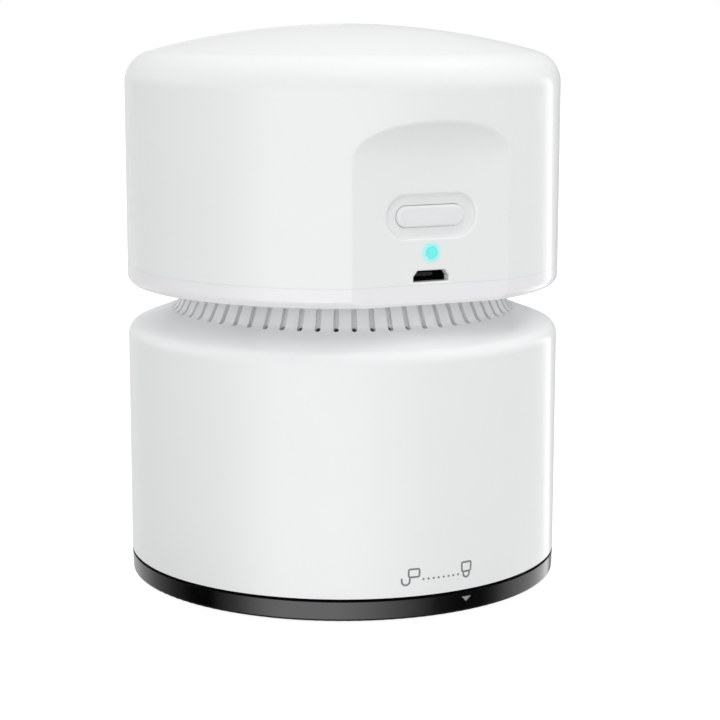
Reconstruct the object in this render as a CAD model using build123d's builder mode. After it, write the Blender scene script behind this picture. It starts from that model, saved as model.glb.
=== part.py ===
from build123d import *

import os
from math import asin, cos, degrees, radians, sin, sqrt, tan

# Desktop mini vacuum cleaner. A round head with the motor, the cell and the board stands on the
# dust bin's vented neck. The fan hangs in the neck, the filter hangs in the bin, and the black base
# twists off to empty it. Origin: centre of the bottom, +Z up, the push button faces -Y.

os.makedirs("parts", exist_ok=True)

# ---- Driving dimensions, in millimetres and degrees ----

# Outer form
BODY_R = 42.5  # radius of the head, the bin and the base
WALL = 2.0  # wall of the moulded shells
BASE_H = 3.7  # height of the black base ring
SHADOW_GAP = 0.6  # gap between the base ring and the bin
BIN_WALL_H = 45.05  # bin wall, from its lower edge to the corner of the shoulder
SHOULDER_ANGLE = 20.5  # rise of the shoulder towards the neck
SHOULDER_R = 2.6  # rounding between the bin wall and the shoulder
NECK_INSET = 9.3  # from the bin's radius in to the foot of the neck
NECK_LEAN = 26.6  # lean of the neck's wall from the vertical
NECK_BLEND_R = 2.0  # hollow between the shoulder and the neck
NECK_GAP = 8.4  # from the corner of the shoulder up to the head
HEAD_EDGE_R = 1.75  # rounding of the head's lower edge
TRIM_H = 3.8  # height of the head's lower shell
SEAM_GAP = 0.02  # seam between the head's two shells
CROWN_R = 142.0  # radius of the domed top
CROWN_EDGE_R = 6.2  # rounding between the head's wall and its top

# Thumb flat on the front of the head
FLAT_DEPTH = 3.05  # depth of the flat at its middle
FLAT_DROP = 23.5  # from the crown down to where the flat begins
SCOOP_R = 9.0  # curve that runs out above the flat
CREASE_R = 0.8  # rounding all round the flat

# Push button, lamp and charging socket, each by its height above the one below it
BUTTON_RISE = 6.6  # from the lamp
BUTTON_W = 13.5
BUTTON_H = 3.9
BUTTON_PROUD = 0.8  # how far the button stands above the floor of its dish
BUTTON_TRAVEL = 0.5
BUTTON_FIT = 0.08  # gap around the button
BUTTON_EDGE_R = 0.6
DISH_SIDE = 2.2  # dish beside the button
DISH_BROW = 2.0  # dish above and below the button
DISH_DEPTH = 1.0
DISH_EDGE_R = 0.49
CAP_FLANGE = 1.3  # reach of the button's flange behind the wall
CAP_FLANGE_T = 1.2
LAMP_RISE = 5.3  # from the socket's lower side
LAMP_R = 1.1
LAMP_FLANGE = 0.7
LAMP_FLANGE_T = 0.8
SOCKET_SILL = 0.5  # lower side of the charging opening above the seam
SOCKET_WIDE = 7.1
SOCKET_NARROW = 5.4
SOCKET_H = 2.1
SOCKET_SIDE_H = 1.0  # height of the socket's upright sides
SOCKET_WALL = 0.3
SOCKET_BEVEL = 0.25
TONGUE_W = 3.8
TONGUE_T = 0.6
TONGUE_SETBACK = 1.5

# Fits
FIT = 0.15  # gap between fixed pieces that slip together
RUN_GAP = 0.3  # gap between the base and the bin
THREAD_FIT = 0.05  # gap between a screw and its hole
SHAFT_FIT = 0.03  # gap between the shaft and its bushes

# Vents in the neck
VENTS = 62
VENT_W = 1.0
VENT_RAISE = -0.6  # lower end of a vent, from the foot of the neck
VENT_DEPTH = 1.0  # groove of a vent in the neck's wall
VENT_HOLE_H = 1.2  # hole right through the wall at the groove's lower end
NECK_RIM_H = 1.5  # closed rim above the vents

# Base: twist lock, inlet, brush and pads
PAD_PROUD = 0.25  # pads below the base ring
PAD_SINK = 0.5
PAD_R = 1.8
PADS = 4
BASE_TAPER = 0.15  # the base ring is narrower at its foot
BASE_EDGE_R = 0.5
COLLAR_WALL = 1.6
COLLAR_H = 7.3
LUGS = 3
LUG_ANGLE = 13.0  # width of a lug and of a ledge
LUG_H = 1.6
LEDGE_W = 1.4
LEDGE_H = 1.6
LEDGE_UP = 2.3  # underside of the ledge above the base ring
LUG_PLAY = 0.2
STOP_ANGLE = 2.2
STOP_PLAY = 0.3  # angle left between a lug and its stop
UNLOCK_TURN = 15.5
NOTCH_TURN = 52.9  # pry notch in the base ring, from the front
NOTCH_W = 0.6
NOTCH_DEPTH = 0.35
GASKET_H = 1.5
PLATE_T = 1.6
PLATE_LIFT = 1.1  # underside of the inlet plate above the ring's lower edge
SEAT_W = 5.2  # inner flange of the ring, above the plate
INLET_R = 9.0
DUCT_WALL = 1.4
DUCT_H = 12.3
DUCT_FLANGE = 2.6
DUCT_FLANGE_T = 1.2
TUFT_GAP = 5.85  # from the duct to the tufts
TUFT_R = 0.75
TUFT_SINK = 1.0
TUFT_CLEAR = 0.15  # bristles end this far above the floor
TUFT_ARCS = 4
TUFTS_PER_ARC = 7
TUFT_PITCH = 9.0  # angle between tufts

# Screws
SCREW_R = 1.0
SCREW_HEAD_R = 1.9
SCREW_HEAD_H = 1.2
CROSS_W = 0.6
CROSS_DEPTH = 0.6
BOSS_R = 3.0
HOUSING_SCREW_TURN = 35.0  # screws, from the X axis
HOUSING_BOSS_H = 18.0
NECK_SCREW_INSET = 2.7  # in from the neck's inside
NECK_BOSS_H = 6.0
EAR_R = 2.6
EAR_T = 2.4
SHROUD_SCREW_INSET = 3.7  # in from the bin's inside
SHROUD_BOSS_R = 2.7
BASE_SCREW_INSET = 2.4  # base screws, in from the collar
BASE_SCREWS = 4
BASE_BOSS_H = 3.3
BOARD_SCREW_R = 0.8

# Lip that joins the head's two shells
LIP_W = 1.3
LIP_H = 4.5
BOSS_GAP = 0.05  # from the lip to the screw bosses

# Fan
FAN_GAP = 1.2  # from the fan's rim to the screw ears
FAN_H = 8.4
FAN_DISC_T = 1.2
FAN_CLEAR = 1.3  # under the head's floor
FAN_BLADES = 9
BLADE_T = 1.0
BLADE_ROOT_R = 7.5
BLADE_SWEEP = 52.0  # angle by which a blade's tip trails its root
HUB_R = 4.2
EYE_R = 9.0
EYE_LIP_W = 1.2
EYE_LIP_H = 0.8
SHROUD_T = 1.6
SHROUD_DROP = 1.1  # shroud below the blades

# Filter
FILTER_ROOM = 9.1  # room for dust round the filter
FILTER_COLLAR_W = 1.4
FILTER_COLLAR_H = 4.0
SEAL_H = 0.9
FRAME_W = 1.85
FRAME_STEP_T = 1.2
FRAME_FLOOR_T = 1.4
FILTER_H = 17.6  # length of the pleats
PLEATS = 36
PLEAT_GAP = 0.8  # from the pleats to the ribs
PLEAT_DEPTH = 5.8
RIBS = 6
RIB_W = 2.2
RIB_T = 1.5
MESH_T = 0.3

# Motor
MOTOR_R = 12.2
MOTOR_H = 28.0
CAN_T = 1.0
SHAFT_R = 1.0
SHAFT_TAIL = 1.4
NOSE_R = 3.0
NOSE_H = 1.4
BUSH_R = 2.3
BUSH_H = 3.0
END_CAP_T = 2.8
END_BOSS_R = 4.0
END_BOSS_H = 2.0
MAGNET_T = 1.6
MAGNET_H = 20.0
MAGNET_ANGLE = 130.0
AIR_GAP = 0.6
CORE_H = 14.0
POLES = 3
POLE_W = 3.2
POLE_TIP_T = 1.4
POLE_TIP_ANGLE = 96.0
COIL_W = 2.0
COMMUTATOR_R = 2.8
COMMUTATOR_H = 3.4
BRUSH_W = 2.0
BRUSH_H = 2.0
TAB_W = 2.4
TAB_T = 0.5
TAB_H = 3.5
TAB_SPREAD = 5.0
MOTOR_SCREW_PCR = 8.0
SLEEVE_T = 1.8
MOTOR_RING_WALL = 1.5
MOTOR_RING_H = 8.0

# Cell
CELL_R = 9.1
CELL_H = 35.0
CELL_STRIP_W = 5.0
CELL_STRIP_T = 0.2
CELL_CRADLE_WALL = 1.5
CELL_CRADLE_FLOOR = 2.3
CELL_CRADLE_H = 18.0
CELL_CAP_R = 3.0
CELL_CAP_H = 0.8
CELL_PAD_R = 7.0
CELL_PAD_T = 3.94  # the head is as high as the cell with this pad

# Board
BOARD_W = 26.0
BOARD_MARGIN = 3.2  # board above its screws
BOARD_T = 1.2
BOARD_CORNER_R = 0.6
BOARD_GAP = 5.9  # from the inside of the flat to the board
BOARD_UP = 1.0  # lower edge of the board above the floor
BOARD_SCREW_INSET = 3.5  # board screws, in from the board's sides
BOARD_SCREW_GAP = 0.65  # from the button's flange up to the screw bosses
BOARD_BOSS_R = 2.2
SWITCH_W = 6.0
SWITCH_H = 3.5
PLUNGER_R = 1.75
PLUNGER_SINK = 1.5
PLUNGER_FIT = 0.1
LED_W = 2.0
LED_T = 1.0
LED_H = 1.2
CHIP_W = 5.0
CHIP_H = 4.0
CHIP_T = 1.5

# Leads
LEAD_R = 0.65
LEAD_GAP = 0.95  # air beside a lead that passes the cell
LEAD_RUN = 6.0  # straight run out of the board
LEAD_CLEAR = 4.0  # from the motor to a lead that passes it
LEAD_RISE = 4.0  # rise of the cell's lead from one bend to the next
MOTOR_LEAD_BEND = 3.5
CELL_LEAD_BEND = 2.5
CELL_SOLDER_X = 8.0
SOLDER_DROP = 4.8  # the motor's solder joints, below the board's upper edge

# ---- Levels and radii that follow from them ----

base_z = PAD_PROUD
base_top = base_z + BASE_H
bin_z = base_top + SHADOW_GAP
shoulder_z = bin_z + BIN_WALL_H
head_z = shoulder_z + NECK_GAP
floor_z = head_z + WALL
seam_z = head_z + TRIM_H
socket_z = seam_z + SOCKET_SILL
lamp_z = socket_z + LAMP_RISE
button_z = lamp_z + BUTTON_RISE

slope = tan(radians(SHOULDER_ANGLE))
lean = tan(radians(NECK_LEAN))
wall_drop = WALL / cos(radians(SHOULDER_ANGLE))
wall_shift = WALL / cos(radians(NECK_LEAN))
neck_foot_r = BODY_R - NECK_INSET
neck_foot_z = shoulder_z + NECK_INSET * slope
neck_top_r = neck_foot_r - (head_z - neck_foot_z) * lean
neck_inner_r = neck_top_r - wall_shift
foot_shift = (wall_shift - wall_drop * lean) / (1 - slope * lean)
inner_foot_r = neck_foot_r - foot_shift
inner_foot_z = neck_foot_z + foot_shift * slope - wall_drop
bin_inner_r = BODY_R - WALL
shoulder_inner_z = shoulder_z + WALL * slope - wall_drop

flat_d = BODY_R - FLAT_DEPTH
board_front = WALL + BOARD_GAP  # depth of the board's face behind the flat
board_back = board_front + BOARD_T - flat_d
board_low = floor_z + BOARD_UP
board_screw_z = button_z + BUTTON_H / 2 + CAP_FLANGE + BOARD_SCREW_GAP + BOARD_BOSS_R
board_top = board_screw_z + BOARD_MARGIN
board_mid_z = (board_low + board_top) / 2
board_screw_x = BOARD_W / 2 - BOARD_SCREW_INSET
lip_top = floor_z + LIP_H
lip_outer_r = bin_inner_r - FIT
lip_inner_r = lip_outer_r - LIP_W
fan_top = head_z - FAN_CLEAR
blade_z = fan_top - FAN_H
shroud_top = blade_z - SHROUD_DROP
shroud_z = shroud_top - SHROUD_T

# The cell stands beside the motor's ring, and the crown clears the pad on top of it
motor_ring_r = MOTOR_R + SLEEVE_T
cell_y = (motor_ring_r + MOTOR_RING_WALL + lip_inner_r) / 2
cell_z = floor_z + CELL_CRADLE_FLOOR + CELL_STRIP_T
cell_top = cell_z + CELL_H
pad_z = cell_top + CELL_STRIP_T
crown_inner_r = CROWN_R - WALL
crown_drop = crown_inner_r - sqrt(crown_inner_r**2 - (cell_y + CELL_PAD_R) ** 2)
top_z = pad_z + CELL_PAD_T + FIT + crown_drop + WALL
flat_top = top_z - FLAT_DROP


def facing(distance, height):
    """Upright plane that faces the front, at a distance from the axis and a height."""
    return Plane(origin=(0, -distance, height), x_dir=(1, 0, 0), z_dir=(0, -1, 0))


def front(height, depth=0.0):
    """Upright plane at a height, parallel to the thumb flat and behind it by a depth."""
    return facing(flat_d - depth, height)


def circle_of(radius, turns):
    """Points on a circle about the axis, at the given angles."""
    return [(radius * cos(radians(turn)), radius * sin(radians(turn))) for turn in turns]


def sector(inner_r, outer_r, middle, width):
    """Sector of a flat ring about the origin, by its middle angle and its angular width."""
    reach = 2 * outer_r / cos(radians(width / 4))
    turns = [radians(middle + width * share) for share in (-0.5, -0.25, 0, 0.25, 0.5)]
    with BuildSketch() as plan:
        Circle(outer_r)
        Circle(inner_r, mode=Mode.SUBTRACT)
        Polygon(
            (0, 0),
            *[(reach * cos(turn), reach * sin(turn)) for turn in turns],
            align=None,
            mode=Mode.INTERSECT,
        )
    return plan.sketch


def screw(head_z_level, length, radius=SCREW_R, head_r=SCREW_HEAD_R):
    """Pan-head screw about the Z axis that points up, its head under the given level."""
    with BuildPart() as body:
        with BuildSketch(Plane.XY.offset(head_z_level)):
            Circle(head_r)
        extrude(amount=-SCREW_HEAD_H)
        fillet(body.edges().group_by(Axis.Z)[0], SCREW_HEAD_H / 3)
        with BuildSketch(Plane.XY.offset(head_z_level)):
            Circle(radius)
        extrude(amount=length)
        with BuildSketch(Plane.XY.offset(head_z_level - SCREW_HEAD_H)):
            Rectangle(head_r * 1.2, CROSS_W)
            Rectangle(CROSS_W, head_r * 1.2)
        extrude(amount=CROSS_DEPTH, mode=Mode.SUBTRACT)
    return body.part


def ring(inner_r, outer_r, low, high):
    """Plain ring about the Z axis between two heights."""
    with BuildPart() as body:
        with BuildSketch(Plane.XY.offset(low)):
            Circle(outer_r)
            Circle(inner_r, mode=Mode.SUBTRACT)
        extrude(amount=high - low)
    return body.part


def lead(points, bend):
    """Round insulated wire along straight runs that are joined by arcs."""
    with BuildPart() as body:
        with BuildLine() as path:
            FilletPolyline(*points, radius=bend)
        with BuildSketch(Plane(origin=path.line @ 0, z_dir=path.line % 0)):
            Circle(LEAD_R)
        sweep(path=path.line)
    return body.part


# ---- Head: one form, cut into an upper and a lower shell ----


def head_solid(inset, bottom_z, bottom_edge_r, crease_r):
    """Filled head whose faces lie inside the outer form by an inset."""
    radius = BODY_R - inset
    crown_r = CROWN_R - inset
    crown_z = top_z - inset
    reach = degrees(asin(radius / crown_r))
    rim_z = crown_z - crown_r + sqrt(crown_r**2 - radius**2)
    scoop_y = -flat_d - SCOOP_R
    scoop_r = SCOOP_R + inset
    with BuildPart() as form:
        with BuildSketch(Plane.XZ) as half:
            with BuildLine():
                Polyline((0, crown_z), (0, bottom_z), (radius, bottom_z), (radius, rim_z))
                CenterArc((0, crown_z - crown_r), crown_r, 90 - reach, reach)
            make_face()
            rim = half.vertices().group_by(Axis.X)[-1].sort_by(Axis.Y)
            fillet(rim[-1], CROWN_EDGE_R - inset)
            if bottom_edge_r:
                rim = half.vertices().group_by(Axis.X)[-1].sort_by(Axis.Y)
                fillet(rim[0], bottom_edge_r)
        revolve(axis=Axis.Z)
        with BuildSketch(Plane.YZ):
            with BuildLine():
                CenterArc((scoop_y, flat_top), scoop_r, 0, 90)
                Polyline(
                    (scoop_y, flat_top + scoop_r),
                    (scoop_y, 0),
                    (scoop_y + scoop_r, 0),
                    (scoop_y + scoop_r, flat_top),
                )
            make_face()
        extrude(amount=BODY_R, both=True, mode=Mode.SUBTRACT)
        if crease_r:
            rim = form.edges(Select.LAST)
            arch = rim.filter_by(GeomType.BSPLINE).sort_by(SortBy.LENGTH)[-1]
            fillet([*rim.filter_by(Axis.Z), arch], crease_r)
    return form.part


head_form = head_solid(0, head_z, HEAD_EDGE_R, CREASE_R)
head_core = head_solid(WALL, floor_z, 0, 0)

housing_turns = [
    HOUSING_SCREW_TURN,
    180 - HOUSING_SCREW_TURN,
    180 + HOUSING_SCREW_TURN,
    360 - HOUSING_SCREW_TURN,
]
housing_screw_r = lip_inner_r - BOSS_GAP - BOSS_R
rib_length = BODY_R - WALL / 2 - housing_screw_r
housing_spots = circle_of(housing_screw_r, housing_turns)
rib_spots = circle_of(housing_screw_r + rib_length / 2, housing_turns)
lip_front = flat_d - WALL - FIT - 2 * LIP_W

# Upper shell: domed cover with the thumb flat, the button's dish and the screw bosses
socket_corners = [
    (-SOCKET_WIDE / 2, 0),
    (SOCKET_WIDE / 2, 0),
    (SOCKET_WIDE / 2, SOCKET_SIDE_H),
    (SOCKET_NARROW / 2, SOCKET_H),
    (-SOCKET_NARROW / 2, SOCKET_H),
    (-SOCKET_WIDE / 2, SOCKET_SIDE_H),
]
dish_w = BUTTON_W + 2 * DISH_SIDE
dish_h = BUTTON_H + 2 * DISH_BROW

with BuildPart() as top_housing:
    add(head_form)
    split(bisect_by=Plane.XY.offset(seam_z + SEAM_GAP), keep=Keep.TOP)
    add(head_core, mode=Mode.SUBTRACT)
    # Dish around the button, then the button's hole
    with BuildSketch(front(button_z)):
        SlotOverall(dish_w, dish_h)
    extrude(amount=-DISH_DEPTH, mode=Mode.SUBTRACT)
    dish_edges = top_housing.edges(Select.LAST).group_by(Axis.Y)
    fillet(dish_edges[0] + dish_edges[-1], DISH_EDGE_R)
    with BuildSketch(front(button_z)):
        SlotOverall(BUTTON_W + 2 * BUTTON_FIT, BUTTON_H + 2 * BUTTON_FIT)
    extrude(amount=-WALL, mode=Mode.SUBTRACT)
    # Lamp hole and charging opening
    with BuildSketch(front(lamp_z)):
        Circle(LAMP_R + THREAD_FIT)
    extrude(amount=-WALL, mode=Mode.SUBTRACT)
    with BuildSketch(front(socket_z)):
        Polygon(*socket_corners, align=None)
    extrude(amount=-WALL, mode=Mode.SUBTRACT)
    chamfer(top_housing.edges(Select.LAST).group_by(Axis.Y)[0], SOCKET_BEVEL)
    # Screw bosses with ribs to the wall
    with BuildSketch(Plane.XY.offset(floor_z)):
        with Locations(*housing_spots):
            Circle(BOSS_R)
    extrude(amount=HOUSING_BOSS_H)
    with BuildSketch(Plane.XY.offset(lip_top + FIT)):
        for spot, turn in zip(rib_spots, housing_turns):
            with Locations(spot):
                Rectangle(rib_length, WALL, rotation=turn)
    extrude(amount=HOUSING_BOSS_H - LIP_H - FIT)
    with BuildSketch(Plane.XY.offset(floor_z)):
        with Locations(*housing_spots):
            Circle(SCREW_R + THREAD_FIT)
    extrude(amount=HOUSING_BOSS_H - WALL, mode=Mode.SUBTRACT)
    # Bosses that carry the board
    with BuildSketch(front(board_screw_z, WALL)):
        with GridLocations(2 * board_screw_x, 0, 2, 1):
            Circle(BOARD_BOSS_R)
    extrude(amount=-BOARD_GAP)
    with BuildSketch(front(board_screw_z, board_front)):
        with GridLocations(2 * board_screw_x, 0, 2, 1):
            Circle(BOARD_SCREW_R + THREAD_FIT)
    extrude(amount=BOARD_GAP - WALL / 2, mode=Mode.SUBTRACT)

# Lower shell: trim ring, floor, joining lip, motor ring and neck bosses
neck_screw_r = neck_inner_r - NECK_SCREW_INSET
neck_spots = circle_of(neck_screw_r, (30, 150, 270))
motor_spots = circle_of(MOTOR_SCREW_PCR, (0, 180))
counterbore_h = SCREW_HEAD_H + THREAD_FIT

with BuildPart() as head_base:
    add(head_form)
    split(bisect_by=Plane.XY.offset(seam_z), keep=Keep.BOTTOM)
    add(head_core, mode=Mode.SUBTRACT)
    with BuildSketch(Plane.XY.offset(floor_z)):
        Circle(lip_outer_r)
        Circle(lip_inner_r, mode=Mode.SUBTRACT)
        with Locations((0, -BODY_R)):
            Rectangle(2 * BODY_R, 2 * (BODY_R - lip_front), mode=Mode.SUBTRACT)
    extrude(amount=LIP_H)
    with BuildSketch(Plane.XY.offset(floor_z)):
        Circle(motor_ring_r + MOTOR_RING_WALL)
        Circle(motor_ring_r, mode=Mode.SUBTRACT)
    extrude(amount=MOTOR_RING_H)
    with BuildSketch(Plane.XY.offset(floor_z)):
        with Locations(*neck_spots):
            Circle(BOSS_R)
    extrude(amount=NECK_BOSS_H)
    with BuildSketch(Plane.XY.offset(head_z)):
        with Locations(*neck_spots):
            Circle(SCREW_R + THREAD_FIT)
    extrude(amount=NECK_BOSS_H + WALL / 2, mode=Mode.SUBTRACT)
    with BuildSketch(Plane.XY.offset(head_z)):
        Circle(NOSE_R + FIT)
        with Locations(*motor_spots, *housing_spots):
            Circle(SCREW_R + THREAD_FIT)
    extrude(amount=WALL, mode=Mode.SUBTRACT)
    with BuildSketch(Plane.XY.offset(head_z)):
        with Locations(*motor_spots, *housing_spots):
            Circle(SCREW_HEAD_R + FIT)
    extrude(amount=counterbore_h, mode=Mode.SUBTRACT)

housing_screw = screw(head_z + counterbore_h, HOUSING_BOSS_H - 2 * WALL)
with BuildPart() as housing_screws:
    with Locations(*housing_spots):
        add(housing_screw)

# ---- Dust bin with the shoulder and the vented neck ----

bin_outline = [(BODY_R, bin_z), (BODY_R, shoulder_z), (neck_foot_r, neck_foot_z), (neck_top_r, head_z)]
bin_inline = [
    (neck_inner_r, head_z),
    (inner_foot_r, inner_foot_z),
    (bin_inner_r, shoulder_inner_z),
    (bin_inner_r, bin_z),
]
inner_shoulder_r = max(SHOULDER_R - WALL, 0)

with BuildPart() as bin_form:
    with BuildSketch(Plane.XZ):
        with BuildLine():
            FilletPolyline(
                (0, bin_z),
                *bin_outline,
                (0, head_z),
                radius=[0, 0, SHOULDER_R, NECK_BLEND_R, 0, 0],
                close=True,
            )
        make_face()
    revolve(axis=Axis.Z)

ledge_z = base_top + LEDGE_UP
lug_z = ledge_z + LEDGE_H + LUG_PLAY
lug_turn = 90.0
ledge_plan = sector(bin_inner_r - LEDGE_W, BODY_R - WALL / 2, lug_turn, LUG_ANGLE)
locked_stop = lug_turn + LUG_ANGLE / 2 + STOP_PLAY + STOP_ANGLE / 2
open_stop = lug_turn - LUG_ANGLE / 2 - UNLOCK_TURN - STOP_PLAY - STOP_ANGLE / 2
locked_stop_plan = sector(bin_inner_r - LEDGE_W, BODY_R - WALL / 2, locked_stop, STOP_ANGLE)
open_stop_plan = sector(bin_inner_r - LEDGE_W, BODY_R - WALL / 2, open_stop, STOP_ANGLE)
shroud_spots = circle_of(bin_inner_r - SHROUD_SCREW_INSET, (45, 135, 225, 315))
shroud_pilot_h = wall_drop
vent_low = neck_foot_z + VENT_RAISE
vent_high = head_z - NECK_RIM_H + VENT_W / 2
rim_inner_r = neck_inner_r - WALL / 2

vent_length = (vent_high - vent_low) / cos(radians(NECK_LEAN))
vent_z = (vent_low + vent_high) / 2
vent_r = neck_foot_r - (vent_z - neck_foot_z) * lean
neck_face = Plane(
    origin=(0, -vent_r, vent_z),
    x_dir=(1, 0, 0),
    z_dir=(0, -cos(radians(NECK_LEAN)), sin(radians(NECK_LEAN))),
)

with BuildPart() as vent_cutter:
    with BuildSketch(neck_face.offset(-VENT_DEPTH)):
        SlotOverall(vent_length, VENT_W, rotation=90)
    extrude(amount=VENT_DEPTH + WALL)
    with BuildSketch(neck_face):
        with Locations((0, (VENT_HOLE_H - vent_length) / 2)):
            SlotOverall(VENT_HOLE_H, VENT_W, rotation=90)
    extrude(amount=-2 * WALL)

with BuildPart() as bin_shell:
    with BuildSketch(Plane.XZ):
        with BuildLine():
            FilletPolyline(
                *bin_outline,
                *bin_inline,
                radius=[0, SHOULDER_R, NECK_BLEND_R, 0, 0, NECK_BLEND_R + WALL, inner_shoulder_r, 0],
                close=True,
            )
        make_face()
    revolve(axis=Axis.Z)
    # Bosses for the shroud's screws, trimmed to the outer form
    with BuildSketch(Plane.XY.offset(shroud_top)):
        with Locations(*shroud_spots):
            Circle(SHROUD_BOSS_R)
    extrude(amount=neck_foot_z - shroud_top)
    add(bin_form.part, mode=Mode.INTERSECT)
    with BuildSketch(Plane.XY.offset(shroud_top)):
        with Locations(*shroud_spots):
            Circle(SCREW_R + THREAD_FIT)
    extrude(amount=shroud_pilot_h, mode=Mode.SUBTRACT)
    # Ledges and stops of the twist lock
    with BuildSketch(Plane.XY.offset(ledge_z)):
        with PolarLocations(0, LUGS):
            add(ledge_plan)
    extrude(amount=LEDGE_H)
    with BuildSketch(Plane.XY.offset(ledge_z)):
        with PolarLocations(0, LUGS):
            add(locked_stop_plan)
            add(open_stop_plan)
    extrude(amount=LEDGE_H + LUG_PLAY + LUG_H)
    # Vents on both sides of the front, then the closed rim and the screw ears behind them
    with PolarLocations(0, VENTS, start_angle=180 / VENTS):
        add(vent_cutter.part, mode=Mode.SUBTRACT)
    with BuildSketch(Plane.XY.offset(head_z)):
        Circle(neck_top_r - wall_shift / 2)
        Circle(rim_inner_r, mode=Mode.SUBTRACT)
    extrude(amount=-NECK_RIM_H)
    with BuildSketch(Plane.XY.offset(head_z)):
        with Locations(*neck_spots):
            Circle(EAR_R)
    extrude(amount=-EAR_T)
    with BuildSketch(Plane.XY.offset(head_z)):
        with Locations(*neck_spots):
            Circle(SCREW_R + THREAD_FIT)
    extrude(amount=-EAR_T, mode=Mode.SUBTRACT)

neck_screw = screw(head_z - EAR_T, EAR_T + NECK_BOSS_H)
with BuildPart() as neck_screws:
    with Locations(*neck_spots):
        add(neck_screw)

# ---- Fan shroud and filter ----

frame_out_r = bin_inner_r - FILTER_ROOM
frame_in_r = frame_out_r - FRAME_W
filter_collar_r = frame_in_r - FIT

with BuildPart() as fan_shroud:
    with BuildSketch(Plane.XY.offset(shroud_z)):
        Circle(bin_inner_r - FIT)
        Circle(EYE_R, mode=Mode.SUBTRACT)
        with Locations(*shroud_spots):
            Circle(SCREW_R + THREAD_FIT, mode=Mode.SUBTRACT)
    extrude(amount=SHROUD_T)
    with BuildSketch(Plane.XY.offset(shroud_top)):
        Circle(EYE_R + EYE_LIP_W)
        Circle(EYE_R, mode=Mode.SUBTRACT)
    extrude(amount=EYE_LIP_H)
    with BuildSketch(Plane.XY.offset(shroud_z)):
        Circle(filter_collar_r)
        Circle(filter_collar_r - FILTER_COLLAR_W, mode=Mode.SUBTRACT)
    extrude(amount=-FILTER_COLLAR_H)
    fillet(fan_shroud.edges().group_by(Axis.Z)[-1].sort_by(SortBy.RADIUS)[0], EYE_LIP_W / 3)

shroud_screw = screw(shroud_z, SHROUD_T + shroud_pilot_h - THREAD_FIT)
with BuildPart() as shroud_screws:
    with Locations(*shroud_spots):
        add(shroud_screw)

seal_z = shroud_z - SEAL_H
step_top = shroud_z - FILTER_COLLAR_H - 2 * FIT
step_z = step_top - FRAME_STEP_T
pleat_z = step_z - FILTER_H
mesh_r = filter_collar_r - MESH_T
rib_r = mesh_r - RIB_T / 2
pleat_r = mesh_r - RIB_T - PLEAT_GAP
pleat_root_r = pleat_r - PLEAT_DEPTH

filter_seal = ring(frame_in_r, frame_out_r, seal_z, shroud_z)

with BuildPart() as filter_frame:
    with BuildSketch(Plane.XY.offset(step_z)):
        Circle(frame_out_r)
        Circle(pleat_root_r, mode=Mode.SUBTRACT)
    extrude(amount=FRAME_STEP_T)
    with BuildSketch(Plane.XY.offset(step_z)):
        Circle(frame_out_r)
        Circle(frame_in_r, mode=Mode.SUBTRACT)
    extrude(amount=seal_z - step_z)
    with BuildSketch(Plane.XY.offset(pleat_z)):
        Circle(filter_collar_r)
    extrude(amount=-FRAME_FLOOR_T)
    with BuildSketch(Plane.XY.offset(pleat_z)):
        with PolarLocations(rib_r, RIBS):
            Rectangle(RIB_T, RIB_W)
    extrude(amount=FILTER_H)
    # Pull bar across the underside
    with BuildSketch(Plane.XY.offset(pleat_z - FRAME_FLOOR_T)):
        Rectangle(pleat_root_r, RIB_W)
    extrude(amount=-RIB_T)

mesh_fit = THREAD_FIT
filter_mesh = ring(mesh_r + mesh_fit, mesh_r + MESH_T, pleat_z, step_z)

pleat_corners = []
for fold in range(PLEATS):
    for share, radius in ((0, pleat_root_r), (0.5, pleat_r)):
        turn = radians(360 * (fold + share) / PLEATS)
        pleat_corners.append((radius * cos(turn), radius * sin(turn)))
with BuildPart() as filter_pleats:
    with BuildSketch(Plane.XY.offset(pleat_z)):
        with BuildLine():
            Polyline(*pleat_corners, close=True)
        make_face()
        offset(amount=-MESH_T, kind=Kind.INTERSECTION, mode=Mode.SUBTRACT)
    extrude(amount=FILTER_H)

# ---- Fan and motor ----

fan_r = neck_screw_r - EAR_R - FAN_GAP
mean_r = (fan_r + BLADE_ROOT_R) / 2
blade_bow = radians(BLADE_SWEEP * 0.42)
blade_tip = radians(BLADE_SWEEP)
with BuildSketch() as blade_sketch:
    with BuildLine():
        ThreePointArc(
            (BLADE_ROOT_R, 0),
            (mean_r * cos(blade_bow), -mean_r * sin(blade_bow)),
            ((fan_r - BLADE_T) * cos(blade_tip), (BLADE_T - fan_r) * sin(blade_tip)),
        )
    trace(line_width=BLADE_T)
blade_plan = blade_sketch.sketch

with BuildPart() as impeller:
    with BuildSketch(Plane.XY.offset(fan_top - FAN_DISC_T)):
        Circle(fan_r)
    extrude(amount=FAN_DISC_T)
    with BuildSketch(Plane.XY.offset(blade_z + FAN_DISC_T / 2)):
        Circle(HUB_R)
    extrude(amount=FAN_H - FAN_DISC_T)
    with BuildSketch(Plane.XY.offset(blade_z)):
        with PolarLocations(0, FAN_BLADES):
            add(blade_plan)
    extrude(amount=FAN_H - FAN_DISC_T)
    with BuildSketch(Plane.XY.offset(blade_z)):
        Circle(SHAFT_R)
    extrude(amount=FAN_H, mode=Mode.SUBTRACT)

motor_top = floor_z + MOTOR_H
cap_top = motor_top + END_CAP_T
shaft_top = cap_top + END_BOSS_H + SHAFT_TAIL
with BuildPart() as motor_shaft:
    with BuildSketch(Plane.XY.offset(blade_z)):
        Circle(SHAFT_R)
    extrude(amount=shaft_top - blade_z)
    chamfer(motor_shaft.edges().group_by(Axis.Z)[-1], SHAFT_R / 4)

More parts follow.
